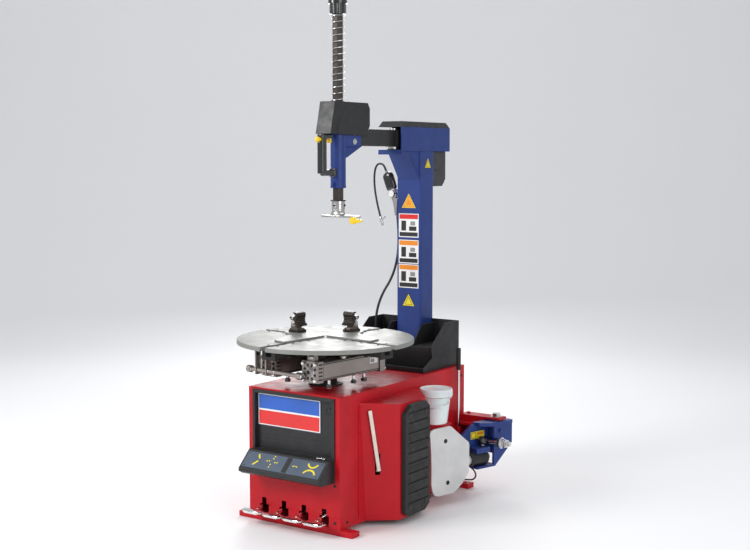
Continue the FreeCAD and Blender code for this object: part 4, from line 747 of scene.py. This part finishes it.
def make_jaw(quarter, side_name):
    """Clamping jaw; its outlines hold (distance from the turntable's axis, height)."""
    name = "jaw_" + side_name
    jaw = Piece(name + "_shape", chuck(quarter))

    def across(outline, y0, y1, material):
        jaw.prism([(r, y0, z) for r, z in outline], (0, y1 - y0, 0), material)

    jaw.box((0.1142, -0.0198, 0.6551), (0.1658, 0.0198, 0.664), JAW_IRON)
    across(JAW_FOOT, -0.0165, 0.0165, HOOK_STEEL)
    across(JAW_POST, -0.0145, 0.0145, HOOK_STEEL)
    for y0, y1 in ((-0.0232, -0.0082), (-0.0076, 0.0076), (0.0082, 0.0232)):
        across(JAW_HOOK, y0, y1, JAW_IRON)
    across([(r + 0.001, z) for r, z in JAW_HOOK[1:-1]], -0.0215, 0.0215, JAW_IRON)
    across(JAW_WEDGE, -0.0195, 0.0195, JAW_IRON)
    jaw.rod((0.1465, -0.0212, 0.7062), (0.1465, 0.0212, 0.7062), 0.0046, STEEL_Z, 24)
    for side in (-1, 1):
        jaw.hex_bolt((0.147, side * 0.0145, 0.686), Y * side, 0.0125, STEEL_Z, 0.004)
        for r in (0.121, 0.16):
            jaw.socket_screw((r, side * 0.014, 0.664), Z, 0.0042, IRON, 0.004)
    for i in range(4):
        z = 0.6885 + 0.0062 * i
        jaw.box((0.1178, -0.0205, z), (0.124, 0.0205, z + 0.0018), HOOK_STEEL)
    jaw.made("slide_" + side_name, 0.0007, replaces=[name], slot="dark_iron")


make_jaw(1, "rear")
make_jaw(2, "left")

# ---------- tray and column
dress("tool_tray", TRAY_PLASTIC, 0.0028, 3)
dress("column", BLUE, 0.0014)
dress("column_head", BLUE, 0.0022, 3)
dress("column_cap", BLACK_PLASTIC, 0.003, 3)
dress("rear_cover", DARK_GREY, 0.0025, 3)
dress("pivot_pins", STEEL_Z, 0.0012)

post = Piece("column_details")
for x in (-0.072, 0.072):
    for y in (0.3, 0.385):
        post.hex_bolt((x, y, 0.49), Z, 0.013, STEEL_Z)
for x in (-0.034, 0.034):
    for z in (1.19, 1.29):
        post.pan_screw((x, 0.5238, z), Y, 0.004, IRON)
for side in (-1, 1):
    post.pan_screw((side * 0.0458, 0.45, 1.24), X * side, 0.004, IRON)
for x in (-0.168, 0.168):
    for y in (0.17, 0.395):
        post.pan_screw((x, y, 0.485 if y < 0.2 else 0.565), Z, 0.004, IRON)
post.box((-0.054, 0.1912, 1.3005), (0.054, 0.1962, 1.3135), BLUE)
post.lathe([(0.025, 0), (0.026, 0.0012), (0.025, 0.0025)], (0, 0.216, 1.3195), Z, DARK_GREY, 36)
post.made("machine", 0.0004)

labels = Piece("plain_labels")


COLUMN_FRONT = 0.324


def front_label(x0, x1, z0, z1, material, lift=0.0004):
    labels.box((x0, COLUMN_FRONT - lift, z0), (x1, COLUMN_FRONT + 0.0002, z1), material)


def triangle(centre, half, out, right, face, border):
    """Warning-style triangle with a border, and no sign in it but a smaller triangle."""
    for scale, lift, material in ((1.0, 0.0002, border), (0.88, 0.0003, face), (0.62, 0.0004, border),
                                  (0.52, 0.0005, face)):
        size = half * scale
        foot = Vector(centre) - Z * size * 0.58 - out * 0.0002
        tip = Vector(centre) + Z * size * 1.16 - out * 0.0002
        labels.prism([foot - right * size, foot + right * size, tip], out * (lift + 0.0002), material)


triangle((0, COLUMN_FRONT, 1.112), 0.032, -Y, X, INK_ORANGE, INK_YELLOW)
triangle((0, COLUMN_FRONT, 0.724), 0.03, -Y, X, INK_YELLOW, INK_AND_SHADE_BLACK)
triangle((0.056, 0.374, 1.262), 0.024, X, Y, INK_YELLOW, INK_AND_SHADE_BLACK)
LABEL_HALF, LABEL_HIGH = 0.046, 0.093
for z1, header in ((1.071, INK_RED), (0.968, INK_ORANGE), (0.872, INK_ORANGE)):
    z0 = z1 - LABEL_HIGH
    front_label(-LABEL_HALF, LABEL_HALF, z0, z1, INK_WHITE, 0.0002)
    front_label(-LABEL_HALF + 0.003, LABEL_HALF - 0.003, z1 - 0.021, z1 - 0.003, header)
    front_label(-0.034, -0.012, z0 + 0.026, z1 - 0.028, INK_AND_SHADE_BLACK)
    front_label(0.002, 0.036, z0 + 0.026, z1 - 0.05, INK_AND_SHADE_BLACK)
    front_label(0.008, 0.03, z1 - 0.046, z1 - 0.03, INK_GREY)
    front_label(-LABEL_HALF + 0.004, LABEL_HALF - 0.004, z0 + 0.004, z0 + 0.02, INK_AND_SHADE_BLACK)
labels.made("machine")

# ---------- swing arm and tool head
dress("swing_arm", BLACK_PAINT, 0.002, 3)
dress("head_sleeve", BLUE, 0.0015)
dress("head_cover", BLACK_PLASTIC, 0.0022, 3)
cast("head_handle", GLOSS_BLACK, 0.0016, 6)
dress("lock_button", YELLOW, 0.0008)
dress("hex_bar", DARK_BAR, 0.0012)
dress("top_knob", GLOSS_BLACK, 0.002, 3)
cast("mount_head", CAST_CHROME, 0.0011, 10)
cast("head_insert", YELLOW, 0.0009, 6)

BAR_Y, ARM_PIVOT_Y = -0.143, 0.216  # the hexagonal bar's axis and the swing arm's pivot

head = Piece("head_details")
head.socket_screw((0.033, -0.004, 1.392), X, 0.0048, INK_WHITE, 0.0019)
head.box((0.0315, 0.0085, 1.402), (0.034, 0.0, 1.47), BLACK_PLASTIC)
for z in (1.3, 1.316):
    head.ring((0, BAR_Y, z), Z, 0.0276, 0.0005, BLUE)
head.lathe([(0.0282, 0), (0.0286, 0.002), (0.0286, 0.006), (0.0282, 0.008)], (0, BAR_Y, 1.181), Z, BLUE, 48)
head.box((-0.007, -0.203, 1.34), (0.007, -0.1925, 1.3705), YELLOW)
for z in (1.346, 1.378):
    for side in (-1, 1):
        head.hex_bolt((side * 0.025, -0.075, z), X * side, 0.012, STEEL_Z, 0.005)
head.made("swing_arm", 0.0006)

foot = Piece("mount_head_details")
for z in (1.1225, 1.113):
    foot.ring((0, BAR_Y, z), Z, 0.0242, 0.0012, CAST_CHROME)
for angle in (20, 160, 270):
    out = spoke(angle)[0]
    foot.socket_screw(Vector((0, BAR_Y, 1.118)) + out * 0.0236, out, 0.004, IRON, 0.003)
foot.lathe([(0.0275, 0), (0.0282, 0.002), (0.0272, 0.0045)], (0, BAR_Y, 1.1335), Z, IRON, 40)
foot.made("tool_bar", 0.0003)

pivot = Piece("arm_pivot_details")
pivot.ring((0, ARM_PIVOT_Y, 1.3315), Z, 0.031, 0.0012, BLACK_PAINT)
pivot.made("swing_arm")

knob = Piece("knob_details")
knob.lathe([(0.0325, 0), (0.0335, 0.0008), (0.0315, 0.0012), (0.027, 0.0006), (0, 0.0004)],
           (0, BAR_Y, 1.8436), Z, GLOSS_BLACK, 48)
knob.made("tool_bar")

# ---------- coil spring
TURNS, STEPS = 13.0, 26
FLAT, RISE = 0.8, 0.0036  # turns that lie flat at each end, and how far they climb
LOW, HIGH, COIL_RADIUS = 1.489, 1.793, 0.0243


def coil_point(turns):
    """Point on the spring's wire after so many turns."""
    free = min(max(turns - FLAT, 0.0), TURNS)
    z = LOW + RISE * min(turns / FLAT, 1.0) + (HIGH - LOW - 2 * RISE) * free / TURNS
    z += RISE * max(0.0, (turns - TURNS - FLAT) / FLAT)
    angle = 2 * pi * turns
    return COIL_RADIUS * cos(angle), BAR_Y + COIL_RADIUS * sin(angle), z


coil_steps = int((TURNS + 2 * FLAT) * STEPS)
wire = [coil_point(i / coil_steps * (TURNS + 2 * FLAT)) for i in range(coil_steps + 1)]
coil = Piece("bar_coil")
coil.sweep(wire, 0.0013, CHROME, 10)
coil = coil.made("swing_arm", replaces=["bar_spring"], slot="polished_chrome")
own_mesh(coil)

# ---------- bead breaker
dress("breaker_bracket", RED, 0.002, 3)
dress("breaker_arm", BLUE, 0.003, 3)
dress("breaker_blade", BLADE_STEEL, 0.0014, 3)
dress("breaker_rod", CHROME, 0.0012)
dress("breaker_cylinder", ALUMINIUM, 0.0012)
dress("blade_lock_pin", GLOSS_BLACK, 0.0006)

PIVOT_X, PIVOT_Y = 0.345, 0.42
BREAKER = Matrix.Translation((PIVOT_X, PIVOT_Y, 0)) @ Matrix.Rotation(radians(-16), 4, "Z")
BLADE_X, BLADE_Z = 0.008, 0.145  # the blade's pin and its bearing in the breaker frame
BEARING_NEAR, BEARING_FAR = -0.0715, -0.1585

bearing = nodes["breaker_arm"]
bearing.data.materials.append(BLACK_PLASTIC)
for face in bearing.data.polygons:
    spot = BREAKER.inverted() @ (bearing.matrix_world @ face.center)
    if hypot(spot.x - BLADE_X, spot.z - BLADE_Z) < 0.0275 and BEARING_FAR < spot.y < BEARING_NEAR:
        face.material_index = 1

bracket = Piece("bracket_details")
for z in (0.18, 0.26):
    bracket.hex_bolt((0.22, 0.444, z), Y, 0.013, STEEL_Z)
    bracket.hex_bolt((0.3, 0.444, z), Y, 0.011, STEEL_Z)
bracket.lathe([(0.0215, 0), (0.022, 0.001), (0.0215, 0.002)], (PIVOT_X, PIVOT_Y, 0.29), Z, STEEL_Z, 32)
bracket.hex_bolt((0.222, 0.418, 0.29), Z, 0.012, RED)
bracket.pan_screw((0.222, 0.372, 0.264), Z, 0.0055, IRON)
bracket.made("machine", 0.0004)

arm = Piece("breaker_arm_details", BREAKER)
arm.box((-0.0142, -0.124, 0.214), (-0.0134, -0.052, 0.242), INK_YELLOW)
arm.box((-0.0142, -0.121, 0.2165), (-0.0132, -0.097, 0.2395), INK_AND_SHADE_BLACK)
arm.box((-0.0142, -0.119, 0.2185), (-0.013, -0.099, 0.2375), INK_YELLOW)
arm.box((-0.0142, -0.092, 0.229), (-0.0132, -0.056, 0.238), INK_ORANGE)
arm.hex_bolt((0.034, -0.014, 0.242), X, 0.013, BLUE)
for y in (BEARING_FAR, -0.0725):
    arm.ring((BLADE_X, y, BLADE_Z), Y, 0.0255, 0.0016, BLACK_PLASTIC)
for i in range(7):
    arm.ring((BLADE_X, -0.084 - 0.0105 * i, BLADE_Z), Y, 0.0268, 0.0006, BLACK_PLASTIC)
arm.lathe([(0.0315, 0), (0.0325, 0.0015), (0.0315, 0.003)], (0, 0, 0.1655), Z, BLUE, 40)
arm.made("breaker_arm", 0.0006)

blade = Piece("blade_details", BREAKER)
for y, z in ((-0.3, 0.243), (-0.288, 0.084)):
    blade.lathe([(0.0085, 0), (0.0085, 0.0006), (0.007, 0.0022), (0.0036, 0.0026), (0.0034, 0.0012),
                 (0, 0.0012)], (0.035, y, z), X, IRON, 28)
drop = [(0.0008, 0), (0.0018, 0.0006), (0.002, 0.0016), (0.0008, 0.0024)]
for side in (-1, 1):
    for bead_start in (-0.318, -0.204):
        for i in range(10):
            blade.lathe(drop, (0.0285, bead_start + 0.0018 * i, BLADE_Z + side * 0.0194), Y, BLADE_STEEL, 8)
blade.ring((BLADE_X, -0.0685, BLADE_Z), Y, 0.0155, 0.0012, CHROME)
blade.lathe([(0.0075, 0), (0.0078, 0.001), (0.006, 0.0028), (0, 0.003)], (BLADE_X, -0.0505, BLADE_Z), Y,
            CHROME, 24)
blade.made("breaker_blade", 0.0002)

pin = Piece("lock_pin_details", BREAKER)
pin.ring((BLADE_X, -0.084, 0.1935), Z, 0.0082, 0.0012, CHROME)
pin.lathe([(0.0135, 0), (0.014, 0.0006), (0.0125, 0.001)], (BLADE_X, -0.084, 0.2225), Z, GLOSS_BLACK, 32,
          cap=False)
pin.made("blade_lock_pin")

ROD_Y, ROD_Z = 0.368, 0.202
rod_end = Piece("pull_rod_details")
rod_end.ring((0.3965, ROD_Y, ROD_Z), X, 0.0205, 0.0014, STEEL_Z)
for i in range(4):
    rod_end.ring((0.4262 + 0.0018 * i, ROD_Y, ROD_Z), X, 0.0088, 0.0005, STEEL_Z)
rod_end.ring((0.3885, ROD_Y, ROD_Z), X, 0.0145, 0.0042, RUBBER)
rod_end.made("breaker_rod")

# ---------- bucket, levers, small brackets
dress("small_brackets", RED, 0.0012)
dress("long_lever", CHROME, 0.001)
dress("lever_grip", RUBBER, 0.001)

BUCKET = Vector((0.2635, 0.104, 0.311))  # middle of its base
pail = Piece("pail")
wall = [(0, 0), (0.038, 0.0), (0.0395, 0.0006), (0.0405, 0.003), (0.0423, 0.003), (0.0427, 0.006),
        (0.05, 0.07), (0.0527, 0.0975), (0.0585, 0.098), (0.0595, 0.1), (0.0585, 0.102), (0.0535, 0.1025),
        (0.0558, 0.123), (0.0572, 0.1235), (0.0574, 0.1245), (0.056, 0.1252), (0.0545, 0.1245), (0.05, 0.075),
        (0.0405, 0.004), (0, 0.003)]
pail.lathe(wall, BUCKET, Z, WHITE_PLASTIC, 72, cap=False)
for angle in range(0, 360, 30):
    out, side = spoke(angle)
    gusset = [BUCKET + out * r + side * 0.0008 + Z * h for r, h in
              ((0.0515, 0.0985), (0.0515, 0.092), (0.0572, 0.0985))]
    pail.prism(gusset, side * -0.0016, WHITE_PLASTIC)
for side in (-1, 1):
    ear = BUCKET + Z * 0.085
    pail.rod(ear + X * side * 0.051, ear + X * side * 0.0585, 0.0048, WHITE_PLASTIC)
handle = []
for i in range(41):
    c, s = cos(pi * i / 40), sin(pi * i / 40)
    handle.append(BUCKET + Vector((-0.0592 * c, -0.0585 * s, 0.0855 - 0.022 * s)))
pail.sweep(handle, 0.0013, STEEL_Z, 8)
pail.made("bucket", replaces=["bucket"], slot="white_plastic")

LID = BUCKET + Z * 0.104
lid = Piece("pail_lid")
cap = [(0.0612, 0.0), (0.0618, 0.001), (0.0618, 0.0045), (0.0608, 0.0052), (0.0608, 0.024), (0.06, 0.0262),
       (0.058, 0.027), (0.056, 0.0262), (0.0545, 0.0236), (0.051, 0.0228), (0.0355, 0.0228), (0.035, 0.0234),
       (0.0335, 0.0234), (0.033, 0.0228), (0, 0.0228), (0, 0.0206), (0.054, 0.0206), (0.0578, 0.0216),
       (0.059, 0.019), (0.0592, 0.0)]
lid.lathe(cap, LID, Z, WHITE_PLASTIC, 96, cap=False)
for i in range(48):
    out, side = spoke(7.5 * i)
    p = LID + out * 0.0607 + Z * 0.006
    lid.prism([p + side * 0.0006, p - side * 0.0006, p + out * 0.0009], (0, 0, 0.016), WHITE_PLASTIC)
for i in range(8):
    out, side = spoke(45 * i)
    p, q = (LID + out * r + Z * 0.0226 for r in (0.036, 0.05))
    side *= 0.0006
    lid.prism([p - side, p + side, q + side, q - side], (0, 0, 0.0012), WHITE_PLASTIC)
lid.made("bucket_lid", replaces=["bucket_lid"], slot="white_plastic")

LEVER_X, LEVER_Y = 0.222, 0.338
grip = Piece("lever_grip_rings")
for i in range(9):
    grip.ring((LEVER_X, LEVER_Y, 0.481 + 0.0085 * i), Z, 0.0084, 0.0008, RUBBER, 28)
grip.rod((LEVER_X, LEVER_Y, 0.5576), (LEVER_X, LEVER_Y, 0.5579), 0.004, RUBBER)
grip.made("long_lever")

# ---------- inflator
GUN = Matrix.Translation((-0.098, 0.338, 1.198)) @ Matrix.Rotation(radians(-20), 4, "Y")
gun = Piece("hand_inflator", GUN)


def rounded_section(half_x, half_y, z, power=3.2, count=28, shift=0.0):
    ring = []
    for i in range(count):
        t = 2 * pi * i / count
        c, s = cos(t), sin(t)
        ring.append((shift + half_x * copysign(abs(c) ** (2 / power), c),
                     half_y * copysign(abs(s) ** (2 / power), s), z))
    return ring


grip_rings = [rounded_section(*r, 2.6, 32, -0.001) for r in (
    (0.011, 0.008, -0.0372), (0.0178, 0.0128, -0.0364), (0.0212, 0.0148, -0.0325), (0.0226, 0.0156, -0.025),
    (0.0219, 0.0151, -0.0205), (0.0229, 0.0158, -0.016), (0.0222, 0.0153, -0.011), (0.0231, 0.0159, -0.006),
    (0.0223, 0.0154, -0.001), (0.0231, 0.0159, 0.004), (0.0223, 0.0154, 0.009), (0.023, 0.0158, 0.015),
    (0.0218, 0.0152, 0.023), (0.0186, 0.0134, 0.0295), (0.0132, 0.0098, 0.0336), (0.008, 0.0065, 0.0352))]
gun.loft(grip_rings, GLOSS_BLACK)
valve_rings = [rounded_section(0.0142, 0.0121, z, 6) for z in (-0.0695, -0.0685, -0.037, -0.036)]
gun.loft([rounded_section(0.0125, 0.0105, -0.07, 6)] + valve_rings, CAST_CHROME)
for z in (-0.041, -0.0655):
    gun.loft([rounded_section(0.0152, 0.0129, z + d, 6) for d in (-0.0016, -0.001, 0.001, 0.0016)],
             CAST_CHROME)
gun.lathe([(0.0066, 0.034), (0.0066, 0.0368), (0.0058, 0.0374), (0.0058, 0.0395), (0.0062, 0.04),
           (0.0055, 0.042)], (-0.004, 0, 0), Z, CHROME, 24)
VALVE_Z, DIAL_Y = -0.053, -0.01945
for side in (-1, 1):
    gun.lathe([(0.0062, 0), (0.0062, 0.0014), (0.005, 0.002), (0, 0.0022)], (side * 0.013442, 0, VALVE_Z),
              X * side, CHROME, 20)
gun.lathe([(0.0142, 0), (0.015, 0.001), (0.015, 0.0115), (0.0144, 0.0128), (0.0135, 0.0128), (0.0132, 0.0112),
           (0, 0.0112)], (0, -0.008, VALVE_Z), -Y, CHROME, 48)
gun.lathe([(0.0131, 0.0), (0.0131, 0.0003), (0, 0.0003)], (0, -0.0191, VALVE_Z), -Y, INK_WHITE, 40)
for i in range(11):
    t = radians(-135 + 27 * i)
    out, side = Vector((sin(t), 0, cos(t))), Vector((cos(t), 0, -sin(t))) * 0.00035
    a, b = (Vector((0, DIAL_Y, VALVE_Z)) + out * r for r in (0.0096, 0.012))
    gun.prism([a - side, a + side, b + side, b - side], (0, -0.0002, 0), INK_AND_SHADE_BLACK)
gun.prism([(-0.0006, -0.0195, -0.055), (0.0006, -0.0195, -0.055), (-0.006, -0.0195, -0.0465)],
          (0, -0.0003, 0), INK_RED)
gun.place = Matrix.Identity(4)
HANGER_X, HANGER_Z = -0.08, 1.1605
gun.rod((HANGER_X, 0.342, HANGER_Z), (HANGER_X, 0.3688, HANGER_Z), 0.0064, CHROME)
gun.lathe([(0.0064, 0), (0.0064, 0.002), (0.0058, 0.0025), (0.0058, 0.008), (0.0064, 0.0085),
           (0.0064, 0.011)], (HANGER_X, 0.362, 1.15), Z, CHROME, 24)
gun.ring((HANGER_X, 0.35, HANGER_Z), Y, 0.0062, 0.0007, CHROME)
gun.made("machine", replaces=["inflator"], slot="black_plastic")

dress("inflator_trigger", CAST_CHROME, 0.0016, 3)
hinge = Piece("trigger_hinge", GUN)
hinge.rod((-0.009, -0.0065, -0.0735), (-0.009, 0.0065, -0.0735), 0.0018, STEEL_Z)
hinge.made("inflator_trigger")

# ---------- hoses
SUPPLY = [(-80, 362, 1150), (-80, 362, 1080), (-76, 369, 990), (-78, 368, 900), (-94, 352, 815),
          (-130, 322, 740), (-150, 312, 655), (-147, 314, 570), (-147, 314, 485)]
WHIP = [(-116.1, 338, 1236.1), (-124.3, 338, 1258.7), (-146.6, 340, 1267.7), (-168.1, 343, 1257.1),
        (-179.2, 346, 1218.7), (-177.1, 348, 1158.7), (-161.1, 346, 1094.7), (-145.7, 343, 1052.4)]
LOOP = [(200, 386, 90), (232, 386, 90), (260, 390, 78), (273, 395, 53), (258, 397, 32), (230, 396, 28),
        (201, 396, 28)]


def hose(name, points, radius, node, **facts):
    """Round hose: a curved spline along the route's points, which are in millimetres."""
    curve = bpy.data.curves.new(name, "CURVE")
    curve.dimensions = "3D"
    curve.bevel_depth = radius
    curve.bevel_resolution = 6
    curve.resolution_u = 24
    curve.use_fill_caps = True
    spline = curve.splines.new("NURBS")
    spline.points.add(len(points) - 1)
    for knot, place in zip(spline.points, points):
        knot.co = (*(Vector(place) / 1000), 1)
    spline.order_u = 3
    spline.use_endpoint_u = True
    curve.materials.append(HOSE)
    made = add_object(name, curve)
    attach(made, "machine")
    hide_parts(node)


hose("supply_hose", SUPPLY, 0.005, "air_hose", far_end="object", stiffness="medium", lay="hanging")

clip = Piece("clip_on_connector")
end = Vector(WHIP[-1]) / 1000
way = (end - Vector(WHIP[-2]) / 1000).normalized()
clip.lathe([(0.0042, -0.002), (0.0058, 0.0), (0.006, 0.001), (0.006, 0.008), (0.0052, 0.009),
            (0.0052, 0.0105), (0.006, 0.0115), (0.006, 0.024), (0.0052, 0.026), (0.0044, 0.0265),
            (0.0044, 0.0325), (0.0034, 0.034), (0.0026, 0.034), (0.0024, 0.028), (0, 0.028)],
           end, way, CHROME, 28)
side = way.cross(Y).normalized()
thumb = end + way * 0.012 + side * 0.005
clip.rod(thumb, thumb + (side - way * 0.4).normalized() * 0.0215, 0.0023, CHROME, 16)
for p in circle(end + way * 0.014, *frame_of(way)[:2], 0.0059, 10):
    clip.rod(p, p + way * 0.009, 0.0006, CHROME, 6)
clip = clip.made("machine", replaces=["whip_chuck"], slot="polished_chrome")
hose("whip_line", WHIP, 0.004, "whip_hose", far_end="connector", stiffness="limp", lay="hanging",
     with_pieces=[clip])
hose("breaker_air_loop", LOOP, 0.0031, "exhaust_loop", far_end="object", stiffness="limp", lay="loose")

fittings = Piece("hose_fittings")
fittings.hex_bolt((0.2, 0.386, 0.09), X, 0.012, CHROME, 0.006)
fittings.hex_bolt((0.2, 0.396, 0.028), X, 0.011, CHROME, 0.005)
fittings.lathe([(0.0085, 0), (0.0085, 0.003), (0.007, 0.0035)], (-0.147, 0.314, 0.5655), Z, TRAY_PLASTIC, 28)
fittings.made("machine", 0.0003)

# ---------- floor, light, camera
pale = Graph("studio_floor")
shade = pale.blend(pale.noise(0.6, 3.0), (0.86, 0.86, 0.86), (0.89, 0.89, 0.89))
pale.link(shade, pale.shader.inputs["Base Color"])
pale.shader.inputs["Roughness"].default_value = 0.6

FLAT_END, CURVE = 3.5, 3.0  # where the floor starts to rise behind the machine, and the radius of its bend
sweep = bmesh.new()
profile = [(-9.0, 0.0), (FLAT_END, 0.0)]
for angle in range(6, 91, 6):
    t = radians(angle)
    profile.append((FLAT_END + CURVE * sin(t), CURVE - CURVE * cos(t)))
profile.append((FLAT_END + CURVE, 9.0))
look = radians(34.422)
ahead, across = Vector((-sin(look), cos(look), 0)), Vector((cos(look), sin(look), 0))
rows = []
for forward, height in profile:
    middle = ahead * forward + Z * (height - 0.0002)
    rows.append([sweep.verts.new(middle + across * side) for side in (-12, 12)])
for (a, b), (c, d) in zip(rows, rows[1:]):
    sweep.faces.new((a, b, d, c)).smooth = True
floor_mesh = bpy.data.meshes.new("studio_floor")
sweep.to_mesh(floor_mesh)
sweep.free()
floor_mesh.materials.append(pale.material)
add_object("studio_floor", floor_mesh)


def softbox(name, place, target, size, power):
    light = bpy.data.lights.new(name, "AREA")
    light.shape = "RECTANGLE"
    light.size, light.size_y = size
    light.energy = power
    lamp = add_object(name, light)
    lamp.location = place
    lamp.rotation_euler = (Vector(target) - Vector(place)).to_track_quat("-Z", "Y").to_euler()


softbox("key", (-1.9, -3.6, 3.0), (0, -0.1, 0.8), (1.6, 1.6), 120)
softbox("fill", (3.6, -1.6, 1.9), (0.1, 0, 0.8), (2.2, 2.6), 42)
softbox("top", (0, 0.2, 4.0), (0, 0, 0), (3.0, 3.0), 32)
softbox("rim", (-2.2, 3.0, 2.4), (0, 0.2, 1.0), (1.2, 2.4), 55)

world = bpy.data.worlds.new("studio")
bpy.context.scene.world = world
world.use_nodes = True
sky = world.node_tree.nodes["Background"]
sky.inputs["Color"].default_value = (0.93, 0.95, 1.0, 1)
sky.inputs["Strength"].default_value = 0.6

camera_data = bpy.data.cameras.new("camera")
camera_data.lens = 59.5
camera_data.sensor_width = 36.0
camera_data.clip_end = 60
camera = add_object("camera", camera_data)
camera.location = (2.632, -3.75, 1.284)
camera.rotation_euler = (radians(90 - 5.351), 0, look)
bpy.context.scene.camera = camera
bpy.context.scene.view_settings.view_transform = "Standard"
